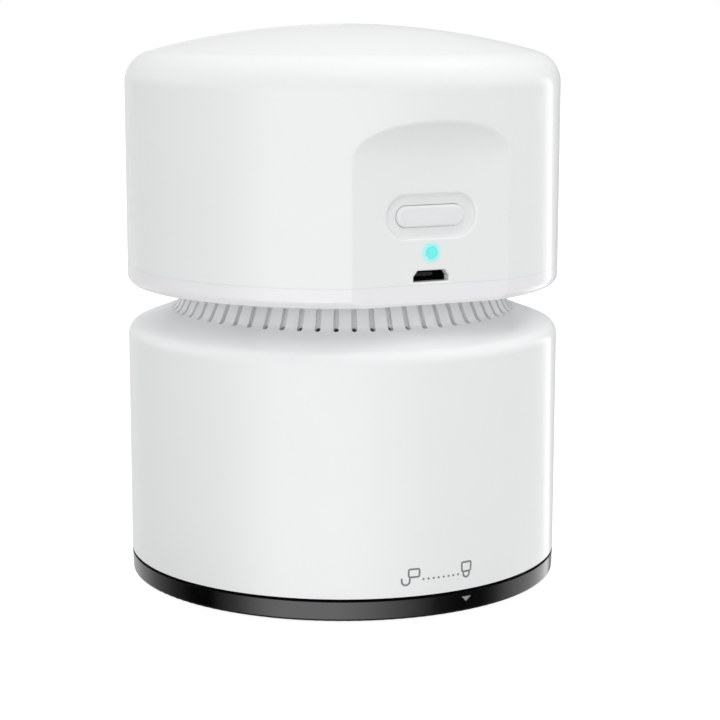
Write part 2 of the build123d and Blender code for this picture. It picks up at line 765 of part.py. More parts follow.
with BuildPart() as motor_can:
    with BuildSketch(Plane.XY.offset(floor_z)):
        Circle(MOTOR_R)
    extrude(amount=MOTOR_H)
    fillet(motor_can.edges().group_by(Axis.Z)[0], CAN_T)
    with BuildSketch(Plane.XY.offset(floor_z + CAN_T)):
        Circle(MOTOR_R - CAN_T)
    extrude(amount=MOTOR_H, mode=Mode.SUBTRACT)
    with BuildSketch(Plane.XY.offset(floor_z - NOSE_H)):
        Circle(NOSE_R)
    extrude(amount=NOSE_H)
    with BuildSketch(Plane.XY.offset(floor_z - NOSE_H)):
        Circle(BUSH_R)
    extrude(amount=NOSE_H + CAN_T, mode=Mode.SUBTRACT)
    with BuildSketch(Plane.XY.offset(floor_z)):
        with Locations(*motor_spots):
            Circle(SCREW_R + THREAD_FIT)
    extrude(amount=CAN_T, mode=Mode.SUBTRACT)

with BuildPart() as motor_end_cap:
    with BuildSketch(Plane.XY.offset(motor_top)):
        Circle(MOTOR_R)
    extrude(amount=END_CAP_T)
    fillet(motor_end_cap.edges().group_by(Axis.Z)[-1], CAN_T)
    with BuildSketch(Plane.XY.offset(cap_top)):
        Circle(END_BOSS_R)
    extrude(amount=END_BOSS_H)
    with BuildSketch(Plane.XY.offset(cap_top + END_BOSS_H - BUSH_H)):
        Circle(BUSH_R)
    extrude(amount=BUSH_H, mode=Mode.SUBTRACT)
    with BuildSketch(Plane.XY.offset(motor_top)):
        Circle(SHAFT_R + AIR_GAP)
    extrude(amount=END_CAP_T + END_BOSS_H, mode=Mode.SUBTRACT)

with BuildPart() as motor_bushes:
    with BuildSketch(Plane.XY.offset(floor_z - NOSE_H)):
        Circle(BUSH_R)
        Circle(SHAFT_R + SHAFT_FIT, mode=Mode.SUBTRACT)
    extrude(amount=BUSH_H)
    with BuildSketch(Plane.XY.offset(cap_top + END_BOSS_H - BUSH_H)):
        Circle(BUSH_R)
        Circle(SHAFT_R + SHAFT_FIT, mode=Mode.SUBTRACT)
    extrude(amount=BUSH_H)

magnet_out_r = MOTOR_R - CAN_T
magnet_in_r = magnet_out_r - MAGNET_T
magnet_z = floor_z + (MOTOR_H - MAGNET_H) / 2
magnet_plan = sector(magnet_in_r, magnet_out_r, 90, MAGNET_ANGLE)
with BuildPart() as motor_magnets:
    with BuildSketch(Plane.XY.offset(magnet_z)):
        with PolarLocations(0, 2):
            add(magnet_plan)
    extrude(amount=MAGNET_H)

core_r = magnet_in_r - AIR_GAP
core_z = floor_z + (MOTOR_H - CORE_H) / 2 - 1
pole_plan = sector(core_r - POLE_TIP_T, core_r, 0, POLE_TIP_ANGLE)
pole_mid_r = (core_r - POLE_TIP_T / 2) / 2
with BuildPart() as armature_core:
    with BuildSketch(Plane.XY.offset(core_z)):
        Circle(POLE_W)
        with PolarLocations(0, POLES):
            add(pole_plan)
        with PolarLocations(pole_mid_r, POLES):
            Rectangle(2 * pole_mid_r, POLE_W)
        Circle(SHAFT_R, mode=Mode.SUBTRACT)
    extrude(amount=CORE_H)

coil_low_r = POLE_W + AIR_GAP
coil_high_r = sqrt((core_r - POLE_TIP_T - FIT) ** 2 - ((POLE_W + COIL_W) / 2) ** 2)
coil_end = COIL_W * 0.75
with BuildPart() as armature_coils:
    with BuildSketch(Plane.XY.offset(core_z - coil_end)):
        with PolarLocations((coil_low_r + coil_high_r) / 2, POLES):
            Rectangle(coil_high_r - coil_low_r, POLE_W + COIL_W)
    extrude(amount=CORE_H + 2 * coil_end)
    fillet(armature_coils.edges().filter_by(Axis.Z), COIL_W / 8)
    with BuildSketch(Plane.XY.offset(core_z)):
        with PolarLocations((coil_low_r + coil_high_r) / 2, POLES):
            Rectangle(coil_high_r - coil_low_r + COIL_W, POLE_W)
    extrude(amount=CORE_H, mode=Mode.SUBTRACT)

commutator_z = motor_top - COMMUTATOR_H - AIR_GAP
with BuildPart() as commutator:
    with BuildSketch(Plane.XY.offset(commutator_z)):
        Circle(COMMUTATOR_R)
        Circle(SHAFT_R, mode=Mode.SUBTRACT)
        with PolarLocations(COMMUTATOR_R, POLES, start_angle=60):
            Rectangle(2 * COMMUTATOR_R / POLES, CROSS_W / 2, mode=Mode.SUBTRACT)
    extrude(amount=COMMUTATOR_H)

brush_low_r = COMMUTATOR_R + FIT
with BuildPart() as motor_brushes:
    with BuildSketch(Plane.XY.offset(motor_top - BRUSH_H - AIR_GAP)):
        with GridLocations(brush_low_r + TAB_SPREAD, 0, 2, 1):
            Rectangle(TAB_SPREAD - brush_low_r, BRUSH_W)
    extrude(amount=BRUSH_H + AIR_GAP)

tab_x = TAB_SPREAD + TAB_T
with BuildPart() as motor_tabs:
    with BuildSketch(Plane.XY.offset(cap_top)):
        with GridLocations(2 * tab_x, 0, 2, 1):
            Rectangle(TAB_T, TAB_W)
    extrude(amount=TAB_H)

motor_sleeve = ring(MOTOR_R, motor_ring_r, floor_z + CAN_T, floor_z + MOTOR_RING_H + CAN_T)

motor_screw = screw(head_z + counterbore_h, WALL - counterbore_h + CAN_T)
with BuildPart() as motor_screws:
    with Locations(*motor_spots):
        add(motor_screw)

# ---- Cell ----

cradle_in_r = CELL_R + FIT
cradle_out_r = cradle_in_r + CELL_CRADLE_WALL
cell_ear_x = cradle_out_r + LEAD_R + FIT
cell_ear_y = cell_y - CELL_R - LEAD_R - LEAD_GAP
strip_end_y = cell_y + CELL_CAP_R

with BuildPart() as battery_cell:
    with BuildSketch(Plane.XY.offset(cell_z)):
        with Locations((0, cell_y)):
            Circle(CELL_R)
    extrude(amount=CELL_H - CELL_CAP_H)
    fillet(battery_cell.edges().group_by(Axis.Z)[-1], CELL_CAP_H / 2)
    with BuildSketch(Plane.XY.offset(cell_top - CELL_CAP_H)):
        with Locations((0, cell_y)):
            Circle(CELL_CAP_R)
    extrude(amount=CELL_CAP_H)

with BuildPart() as battery_cradle:
    with BuildSketch(Plane.XY.offset(floor_z)):
        with Locations((0, cell_y)):
            Circle(cradle_out_r)
    extrude(amount=CELL_CRADLE_H)
    with BuildSketch(Plane.XY.offset(floor_z + CELL_CRADLE_FLOOR)):
        with Locations((0, cell_y)):
            Circle(cradle_in_r)
    extrude(amount=CELL_CRADLE_H, mode=Mode.SUBTRACT)
    # Trimmed to the room between the motor's ring and the lip
    with BuildSketch(Plane.XY.offset(floor_z)):
        Circle(lip_inner_r - FIT)
        Circle(motor_ring_r + MOTOR_RING_WALL + FIT, mode=Mode.SUBTRACT)
    extrude(amount=CELL_CRADLE_H, mode=Mode.INTERSECT)
    # Slot for the lower strip
    with BuildSketch(Plane.XY.offset(floor_z + CELL_CRADLE_FLOOR)):
        with Locations((-cradle_out_r / 2, cell_y)):
            Rectangle(cradle_out_r * 1.2, CELL_STRIP_W + 2 * FIT)
    extrude(amount=CELL_CRADLE_H, mode=Mode.SUBTRACT)

with BuildPart() as battery_strips:
    with BuildSketch(Plane.XY.offset(cell_top)):
        with Locations((0, (strip_end_y + cell_ear_y) / 2 - LEAD_R)):
            Rectangle(CELL_STRIP_W, strip_end_y - cell_ear_y + 2 * LEAD_R)
    extrude(amount=CELL_STRIP_T)
    with BuildSketch(Plane.XY.offset(cell_z - CELL_STRIP_T)):
        with Locations((-cell_ear_x / 2, cell_y)):
            Rectangle(cell_ear_x + 2 * LEAD_R, CELL_STRIP_W)
    extrude(amount=CELL_STRIP_T)

with BuildPart() as battery_pad:
    with BuildSketch(Plane.XY.offset(pad_z)):
        with Locations((0, cell_y)):
            Circle(CELL_PAD_R)
    extrude(amount=CELL_PAD_T)

# ---- Board with the switch, the lamp and the charging socket ----

with BuildPart() as control_board:
    with BuildSketch(front(board_mid_z, board_front)):
        RectangleRounded(BOARD_W, board_top - board_low, BOARD_CORNER_R)
        with Locations((0, board_screw_z - board_mid_z)):
            with GridLocations(2 * board_screw_x, 0, 2, 1):
                Circle(BOARD_SCREW_R + THREAD_FIT, mode=Mode.SUBTRACT)
    extrude(amount=-BOARD_T)

with BuildPart() as board_screws:
    with BuildSketch(front(board_screw_z, board_front + BOARD_T)):
        with GridLocations(2 * board_screw_x, 0, 2, 1):
            Circle(BOARD_SCREW_R)
    extrude(amount=BOARD_T + BOARD_GAP - WALL)
    with BuildSketch(front(board_screw_z, board_front + BOARD_T)):
        with GridLocations(2 * board_screw_x, 0, 2, 1):
            Circle(2 * BOARD_SCREW_R)
            Rectangle(2 * BOARD_SCREW_R, CROSS_W / 2, mode=Mode.SUBTRACT)
            Rectangle(CROSS_W / 2, 2 * BOARD_SCREW_R, mode=Mode.SUBTRACT)
    extrude(amount=-BOARD_SCREW_R)

with BuildPart() as tact_switch:
    with BuildSketch(front(button_z, board_front)):
        RectangleRounded(SWITCH_W, SWITCH_W, BOARD_CORNER_R)
    extrude(amount=SWITCH_H)
    with BuildSketch(front(button_z, board_front - SWITCH_H)):
        Circle(PLUNGER_R + PLUNGER_FIT)
    extrude(amount=-(PLUNGER_SINK + BUTTON_TRAVEL + PLUNGER_FIT), mode=Mode.SUBTRACT)

cap_back = WALL + FIT + CAP_FLANGE_T  # depth of the button's back behind the flat
with BuildPart() as button_cap:
    with BuildSketch(front(button_z, cap_back)):
        SlotOverall(BUTTON_W + 2 * CAP_FLANGE, BUTTON_H + 2 * CAP_FLANGE)
    extrude(amount=CAP_FLANGE_T)
    with BuildSketch(front(button_z, cap_back - CAP_FLANGE_T)):
        SlotOverall(BUTTON_W, BUTTON_H)
    extrude(amount=WALL + FIT - DISH_DEPTH + BUTTON_PROUD)
    fillet(button_cap.edges().group_by(Axis.Y)[0], BUTTON_EDGE_R)

with BuildPart() as switch_plunger:
    with BuildSketch(front(button_z, cap_back)):
        Circle(PLUNGER_R)
    extrude(amount=-(board_front - SWITCH_H - cap_back + PLUNGER_SINK))

with BuildPart() as led_chip:
    with BuildSketch(front(lamp_z, board_front)):
        Rectangle(LED_W, LED_H)
    extrude(amount=LED_T)

with BuildPart() as light_pipe:
    with BuildSketch(front(lamp_z)):
        Circle(LAMP_R)
    extrude(amount=-(board_front - LED_T - FIT))
    with BuildSketch(front(lamp_z, WALL + FIT)):
        Circle(LAMP_R + LAMP_FLANGE)
    extrude(amount=-LAMP_FLANGE_T)

with BuildPart() as usb_shell:
    with BuildSketch(front(socket_z, WALL + FIT)):
        Polygon(*socket_corners, align=None)
        offset(amount=SOCKET_WALL, kind=Kind.INTERSECTION)
    extrude(amount=-(BOARD_GAP - FIT))
    with BuildSketch(front(socket_z, WALL + FIT)):
        Polygon(*socket_corners, align=None)
    extrude(amount=-(BOARD_GAP - FIT - SOCKET_WALL), mode=Mode.SUBTRACT)

with BuildPart() as usb_tongue:
    with BuildSketch(front(socket_z + SOCKET_SIDE_H, board_front - SOCKET_WALL)):
        Rectangle(TONGUE_W, TONGUE_T)
    extrude(amount=BOARD_GAP - SOCKET_WALL - TONGUE_SETBACK)

with BuildPart() as usb_contacts:
    with BuildSketch(front(socket_z + SOCKET_SIDE_H - TONGUE_T / 2, board_front - SOCKET_WALL)):
        with GridLocations(TONGUE_W / 5, 1, 5, 1):
            Rectangle(TONGUE_W / 10, TONGUE_T / 4, align=(Align.CENTER, Align.MAX))
    extrude(amount=BOARD_GAP - SOCKET_WALL - 1.5 * TONGUE_SETBACK)

with BuildPart() as charge_chip:
    with BuildSketch(front(board_mid_z, board_front + BOARD_T)):
        Rectangle(CHIP_W, CHIP_H)
    extrude(amount=-CHIP_T)
    chamfer(charge_chip.edges().group_by(Axis.Y)[-1], CHIP_T / 6)

# ---- Leads inside the head ----

tab_mid_z = cap_top + TAB_H / 2
solder_z = board_top - SOLDER_DROP
motor_leads = [
    lead(
        [
            (x, board_back, solder_z),
            (x, board_back + LEAD_RUN, solder_z),
            (x, -MOTOR_R - LEAD_CLEAR, tab_mid_z),
            (x, -TAB_W / 2, tab_mid_z),
        ],
        MOTOR_LEAD_BEND,
    )
    for x in (-tab_x, tab_x)
]
cell_lead_x = MOTOR_R + LEAD_CLEAR + LEAD_R
battery_lead_plus = lead(
    [
        (CELL_SOLDER_X, board_back, board_mid_z),
        (CELL_SOLDER_X, board_back + LEAD_RUN, board_mid_z),
        (cell_lead_x, -MOTOR_R + LEAD_GAP, board_mid_z + LEAD_RISE),
        (cell_lead_x, MOTOR_R / 2, board_mid_z + 2 * LEAD_RISE),
        (CELL_SOLDER_X, cell_ear_y, board_mid_z + 3 * LEAD_RISE),
        (0, cell_ear_y, board_mid_z + 4 * LEAD_RISE),
        (0, cell_ear_y, cell_top),
    ],
    CELL_LEAD_BEND,
)
battery_lead_minus = lead(
    [
        (-CELL_SOLDER_X, board_back, board_mid_z),
        (-CELL_SOLDER_X, board_back + LEAD_RUN, board_mid_z),
        (-cell_lead_x, -MOTOR_R + LEAD_GAP, board_mid_z + LEAD_RISE / 2),
        (-cell_lead_x, MOTOR_R / 2, board_mid_z + LEAD_RISE / 2),
        (-cell_ear_x, cell_y, board_mid_z),
        (-cell_ear_x, cell_y, cell_z),
    ],
    CELL_LEAD_BEND,
)

# ---- Base: ring with the twist lock, inlet plate, duct, brush and pads ----

collar_r = bin_inner_r - LEDGE_W - RUN_GAP
collar_in_r = collar_r - COLLAR_WALL
collar_top = base_top + COLLAR_H
plate_z = base_z + PLATE_LIFT
plate_top = plate_z + PLATE_T
seat_r = collar_in_r - SEAT_W
lug_plan = sector(collar_r - COLLAR_WALL / 2, bin_inner_r - RUN_GAP, lug_turn, LUG_ANGLE)
base_screw_r = collar_in_r - BASE_SCREW_INSET
pad_ring_r = (collar_in_r + BODY_R) / 2 - BASE_EDGE_R

with BuildPart() as base_ring:
    with BuildSketch(Plane.XZ):
        with BuildLine():
            FilletPolyline(
                (collar_in_r, base_z),
                (BODY_R - BASE_TAPER, base_z),
                (BODY_R, base_top),
                (collar_r, base_top),
                (collar_r, collar_top),
                (collar_in_r, collar_top),
                (collar_in_r, base_top),
                (seat_r, base_top),
                (seat_r, plate_top),
                (collar_in_r, plate_top),
                radius=[0, BASE_EDGE_R, 0, 0, 0, 0, 0, 0, 0, 0],
                close=True,
            )
        make_face()
    revolve(axis=Axis.Z)
    with BuildSketch(Plane.XY.offset(lug_z)):
        with PolarLocations(0, LUGS):
            add(lug_plan)
    extrude(amount=LUG_H)
    with BuildSketch(Plane.XY.offset(base_top)):
        with PolarLocations(base_screw_r, BASE_SCREWS):
            Circle(BOSS_R)
        Circle(collar_r - COLLAR_WALL / 2, mode=Mode.INTERSECT)
    extrude(amount=BASE_BOSS_H)
    with BuildSketch(Plane.XY.offset(plate_top)):
        with PolarLocations(base_screw_r, BASE_SCREWS):
            Circle(SCREW_R + THREAD_FIT)
    extrude(amount=BASE_BOSS_H, mode=Mode.SUBTRACT)
    with BuildSketch(Plane.XY.offset(base_z)):
        with PolarLocations(pad_ring_r, PADS, start_angle=45):
            Circle(PAD_R)
    extrude(amount=PAD_SINK, mode=Mode.SUBTRACT)
    with BuildSketch(Plane.XY.offset(base_z)):
        with PolarLocations(BODY_R, 2, start_angle=NOTCH_TURN - 90):
            Rectangle(2 * NOTCH_DEPTH, NOTCH_W)
    extrude(amount=BASE_H, mode=Mode.SUBTRACT)

with BuildPart() as glide_pads:
    with BuildSketch(Plane.XY):
        with PolarLocations(pad_ring_r, PADS, start_angle=45):
            Circle(PAD_R)
    extrude(amount=PAD_PROUD + PAD_SINK)
    fillet(glide_pads.edges().group_by(Axis.Z)[0], PAD_PROUD / 4)

base_gasket = ring(collar_r, bin_inner_r - FIT, base_top, base_top + GASKET_H)

duct_r = INLET_R + DUCT_WALL
tuft_ring_r = duct_r + TUFT_GAP + TUFT_R
tuft_turns = [
    360 / TUFT_ARCS * (arc + 0.5) + TUFT_PITCH * (step - (TUFTS_PER_ARC - 1) / 2)
    for arc in range(TUFT_ARCS)
    for step in range(TUFTS_PER_ARC)
]
tuft_spots = circle_of(tuft_ring_r, tuft_turns)

with BuildPart() as inlet_plate:
    with BuildSketch(Plane.XY.offset(plate_z)):
        Circle(collar_in_r - FIT)
        Circle(duct_r + THREAD_FIT, mode=Mode.SUBTRACT)
        with PolarLocations(base_screw_r, BASE_SCREWS):
            Circle(SCREW_R + THREAD_FIT, mode=Mode.SUBTRACT)
    extrude(amount=PLATE_T)
    with BuildSketch(Plane.XY.offset(plate_z)):
        with Locations(*tuft_spots):
            Circle(TUFT_R)
    extrude(amount=TUFT_SINK, mode=Mode.SUBTRACT)
    # Shallow guides that lead crumbs to the inlet
    with BuildSketch(Plane.XY.offset(plate_z)):
        with PolarLocations((tuft_ring_r + seat_r) / 2 + TUFT_R, 4):
            SlotOverall(seat_r - tuft_ring_r - 4 * TUFT_R, BOSS_R)
    extrude(amount=PLATE_T / 4, mode=Mode.SUBTRACT)

with BuildPart() as inlet_duct:
    with BuildSketch(Plane.XY.offset(plate_z)):
        Circle(duct_r)
        Circle(INLET_R, mode=Mode.SUBTRACT)
    extrude(amount=DUCT_H)
    with BuildSketch(Plane.XY.offset(plate_top)):
        Circle(duct_r + DUCT_FLANGE)
        Circle(INLET_R, mode=Mode.SUBTRACT)
    extrude(amount=DUCT_FLANGE_T)
    fillet(inlet_duct.edges().group_by(Axis.Z)[0].sort_by(SortBy.RADIUS)[0], DUCT_WALL / 2)

with BuildPart() as brush_tufts:
    with BuildSketch(Plane.XY.offset(TUFT_CLEAR)):
        with Locations(*tuft_spots):
            Circle(TUFT_R)
    extrude(amount=plate_z + TUFT_SINK - TUFT_CLEAR)

base_screw = screw(plate_z, PLATE_T + BASE_BOSS_H - THREAD_FIT)
with BuildPart() as base_screws:
    with PolarLocations(base_screw_r, BASE_SCREWS):
        add(base_screw)

# ---- Files, one for each piece ----

pieces = {
    "top_housing": top_housing.part,
    "head_base": head_base.part,
    "housing_screws": housing_screws.part,
    "bin_shell": bin_shell.part,
    "neck_screws": neck_screws.part,
    "fan_shroud": fan_shroud.part,
    "shroud_screws": shroud_screws.part,
    "filter_frame": filter_frame.part,
    "filter_pleats": filter_pleats.part,
    "filter_mesh": filter_mesh,
    "filter_seal": filter_seal,
    "impeller": impeller.part,
    "motor_shaft": motor_shaft.part,
    "motor_can": motor_can.part,
    "motor_end_cap": motor_end_cap.part,
    "motor_bushes": motor_bushes.part,
    "motor_magnets": motor_magnets.part,
    "armature_core": armature_core.part,
    "armature_coils": armature_coils.part,
    "commutator": commutator.part,
    "motor_brushes": motor_brushes.part,
    "motor_tabs": motor_tabs.part,
    "motor_sleeve": motor_sleeve,
    "motor_screws": motor_screws.part,
    "battery_cell": battery_cell.part,
    "battery_cradle": battery_cradle.part,
    "battery_strips": battery_strips.part,
    "battery_pad": battery_pad.part,
    "control_board": control_board.part,
    "board_screws": board_screws.part,
    "tact_switch": tact_switch.part,
    "switch_plunger": switch_plunger.part,
    "button_cap": button_cap.part,
    "led_chip": led_chip.part,
    "light_pipe": light_pipe.part,
    "usb_shell": usb_shell.part,
    "usb_tongue": usb_tongue.part,
    "usb_contacts": usb_contacts.part,
    "charge_chip": charge_chip.part,
    "motor_lead_a": motor_leads[0],
    "motor_lead_b": motor_leads[1],
    "battery_lead_plus": battery_lead_plus,
    "battery_lead_minus": battery_lead_minus,
    "base_ring": base_ring.part,
    "glide_pads": glide_pads.part,
    "base_gasket": base_gasket,
    "inlet_plate": inlet_plate.part,
    "inlet_duct": inlet_duct.part,
    "brush_tufts": brush_tufts.part,
    "base_screws": base_screws.part,
}
for label, piece in pieces.items():
    piece.label = label
    export_step(piece, f"parts/{label}.step")
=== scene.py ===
"""Looks of a desktop mini vacuum cleaner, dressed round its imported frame.

Lengths are in metres and angles in degrees unless a name ends in _mm. +Z is up and the push button faces
-Y. A turn about the body's axis is counted from the front, positive towards +X.
"""

import logging
from dataclasses import dataclass
from enum import Enum
from math import cos, pi, radians, sin
from typing import Any, Callable, Mapping, Sequence

import bmesh
import bpy
from mathutils import Euler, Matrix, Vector


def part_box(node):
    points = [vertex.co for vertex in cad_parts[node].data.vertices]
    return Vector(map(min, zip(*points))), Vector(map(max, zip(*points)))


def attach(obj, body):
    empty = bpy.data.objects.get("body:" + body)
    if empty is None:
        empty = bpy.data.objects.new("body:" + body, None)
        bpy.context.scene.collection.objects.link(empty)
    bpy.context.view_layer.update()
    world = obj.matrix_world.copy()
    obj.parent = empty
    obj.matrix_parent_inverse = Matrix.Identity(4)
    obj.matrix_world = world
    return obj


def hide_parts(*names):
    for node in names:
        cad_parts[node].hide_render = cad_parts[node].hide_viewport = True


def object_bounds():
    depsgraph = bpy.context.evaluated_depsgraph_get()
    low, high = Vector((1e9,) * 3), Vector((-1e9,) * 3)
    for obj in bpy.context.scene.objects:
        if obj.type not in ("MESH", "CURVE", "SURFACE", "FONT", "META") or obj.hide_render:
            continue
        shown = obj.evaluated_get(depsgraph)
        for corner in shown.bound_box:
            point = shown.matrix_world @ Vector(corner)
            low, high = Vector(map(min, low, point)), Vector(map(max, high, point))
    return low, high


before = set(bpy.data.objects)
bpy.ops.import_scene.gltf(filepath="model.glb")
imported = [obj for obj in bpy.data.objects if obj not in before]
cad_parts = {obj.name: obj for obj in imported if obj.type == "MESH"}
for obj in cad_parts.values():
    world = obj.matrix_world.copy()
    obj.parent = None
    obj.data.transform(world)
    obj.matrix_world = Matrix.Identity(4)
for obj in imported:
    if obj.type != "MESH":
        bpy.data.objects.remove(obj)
cad_low, cad_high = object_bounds()

LOG = logging.getLogger("mini_vacuum")
MM = 0.001
BODY_R = cad_high.x

Colour = tuple[float, float, float]
Point = tuple[float, float]
Wall = Callable[[float], float]
Form = bmesh.types.BMesh


class Body(Enum):
    """The frame's bodies, by their names in the record."""

    HOUSING = "housing"
    ROTOR = "fan_rotor"
    BUTTON = "power_button"
    BASE = "base"


class Grain(Enum):
    """Direction of the fine lines that a tool leaves on metal."""

    ROUND_Z = "turned on a lathe, so the lines run round the Z axis"
    ALONG_Z = "drawn or ground, so the lines run along the Z axis"
    CAST = "no direction"


# ---- Node trees ----


class Wire:
    """A node's output, with arithmetic that adds Math nodes to its tree."""

    def __init__(self, bench: "Bench", socket: bpy.types.NodeSocket) -> None:
        """Keeps the tree and the socket."""
        self.bench = bench
        self.socket = socket

    def math(self, operation: str, *terms: Any) -> "Wire":
        """Adds one Math node on the given terms."""
        return self.bench.add("ShaderNodeMath", {"operation": operation}, dict(enumerate(terms)))

    def __add__(self, other: Any) -> "Wire":
        """Sum of two values."""
        return self.math("ADD", self, other)

    def __sub__(self, other: Any) -> "Wire":
        """Difference of two values."""
        return self.math("SUBTRACT", self, other)

    def __rsub__(self, other: Any) -> "Wire":
        """Difference of a number and this value."""
        return self.math("SUBTRACT", other, self)

    def __mul__(self, other: Any) -> "Wire":
        """Product of two values."""
        return self.math("MULTIPLY", self, other)

    def __truediv__(self, other: Any) -> "Wire":
        """Quotient of two values."""
        return self.math("DIVIDE", self, other)

    def __pow__(self, other: Any) -> "Wire":
        """This value raised to a power."""
        return self.math("POWER", self, other)

    __radd__ = __add__
    __rmul__ = __mul__

    def step(self, low: float, high: float) -> "Wire":
        """Smooth step from 0 at low to 1 at high; high may be the smaller of the two."""
        limits = {"Value": self, "From Min": low, "From Max": high}
        return self.bench.add("ShaderNodeMapRange", {"interpolation_type": "SMOOTHSTEP"}, limits)

    def other(self, name: str) -> "Wire":
        """Another output of the same node."""
        return Wire(self.bench, self.bench.pick(self.socket.node.outputs, name))


class Bench:
    """A node tree under construction, for a material, the world or Geometry Nodes."""

    def __init__(self, tree: bpy.types.NodeTree) -> None:
        """Keeps the tree."""
        self.tree = tree

    @staticmethod
    def pick(sockets: Any, key: str | int) -> bpy.types.NodeSocket:
        """Finds an enabled socket by its name or its place.

        Args:
            sockets: The inputs or outputs of a node.
            key: The socket's name, or its place among the enabled ones.

        Returns:
            The socket.
        """
        live = [socket for socket in sockets if socket.enabled]
        return live[key] if isinstance(key, int) else next(s for s in live if s.name == key)

    def add(
        self,
        kind: str,
        settings: Mapping[str, Any] | None = None,
        inputs: Mapping[str | int, Any] | None = None,
        output: str | int = 0,
    ) -> Wire:
        """Adds a node.

        Args:
            kind: The node's type.
            settings: Its settings, which are set first. "stops" are the stops of a ramp.
            inputs: Values or wires for its sockets.
            output: The output that is returned.

        Returns:
            The wire of that output.
        """
        node = self.tree.nodes.new(kind)
        for name, value in (settings or {}).items():
            if name == "stops":
                self._set_stops(node.color_ramp, value)
            else:
                setattr(node, name, value)
        for key, value in (inputs or {}).items():
            self._feed(self.pick(node.inputs, key), value)
        return Wire(self, self.pick(node.outputs, output)) if node.outputs else Wire(self, None)

    def _feed(self, socket: bpy.types.NodeSocket, value: Any) -> None:
        """Links a wire, or several, to a socket or sets its value.

        Args:
            socket: The input that gets them.
            value: A wire, a list of wires, a number, a colour or a vector.
        """
        for wire in value if isinstance(value, list) else [value]:
            if isinstance(wire, Wire):
                self.tree.links.new(wire.socket, socket)
            else:
                socket.default_value = (*wire, 1.0) if socket.type == "RGBA" else wire

    @staticmethod
    def _set_stops(ramp: bpy.types.ColorRamp, stops: Sequence[tuple[float, Colour]]) -> None:
        """Gives a ramp its stops.

        Args:
            ramp: The ramp, with its two stops.
            stops: Places from 0 to 1 with their colours, in order.
        """
        while len(ramp.elements) < len(stops):
            ramp.elements.new(0.5)
        for element, (place, colour) in zip(ramp.elements, stops):
            element.position = place
            element.color = (*colour, 1.0)


class MaterialBench(Bench):
    """The tree of one material, with the few groups of nodes that every finish uses."""

    def __init__(self, name: str) -> None:
        """Starts an empty material.

        Args:
            name: The material's name.
        """
        self.material = bpy.data.materials.new(name)
        self.material.use_nodes = True
        super().__init__(self.material.node_tree)
        self.tree.nodes.clear()
        self.place = self.add("ShaderNodeTexCoord", output="Object")

    def split(self, vector: Wire) -> tuple[Wire, Wire, Wire]:
        """The three parts of a vector."""
        x = self.add("ShaderNodeSeparateXYZ", inputs={0: vector})
        return x, x.other("Y"), x.other("Z")

    def join(self, x: Any, y: Any, z: Any) -> Wire:
        """A vector of three values."""
        return self.add("ShaderNodeCombineXYZ", inputs={0: x, 1: y, 2: z})

    def noise(self, size: float, detail: float = 2.0, vector: Wire | None = None) -> Wire:
        """Noise from 0 to 1 whose lumps have about the given size."""
        inputs = {"Vector": vector or self.place, "Scale": 1 / size, "Detail": detail}
        return self.add("ShaderNodeTexNoise", inputs=inputs)

    def mix(self, share: Any, low: Any, high: Any) -> Wire:
        """Colour between two colours."""
        settings = {"data_type": "RGBA", "clamp_factor": True}
        return self.add("ShaderNodeMix", settings, {"Factor": share, "A": low, "B": high}, "Result")

    def bump(self, height: Wire, depth: float) -> Wire:
        """Normal of a relief whose height runs from 0 to 1 over a real depth."""
        return self.add("ShaderNodeBump", inputs={"Height": height, "Distance": depth})

    def distance(self, centre: Vector) -> Wire:
        """Distance from a fixed point."""
        ends = {0: self.place, 1: centre}
        return self.add("ShaderNodeVectorMath", {"operation": "DISTANCE"}, ends, "Value")

    def turn(self) -> Wire:
        """Angle about the body's axis, in radians."""
        x, y, _ = self.split(self.place)
        return x.math("ARCTAN2", y, x)

    def principled(self, **sockets: Any) -> Wire:
        """A Principled shader, its sockets named with underscores for spaces."""
        named = {key.replace("_", " "): value for key, value in sockets.items()}
        return self.add("ShaderNodeBsdfPrincipled", inputs=named)

    def close(self, surface: Wire) -> bpy.types.Material:
        """Wires the surface to the output and returns the material."""
        self.add("ShaderNodeOutputMaterial", inputs={"Surface": surface})
        return self.material


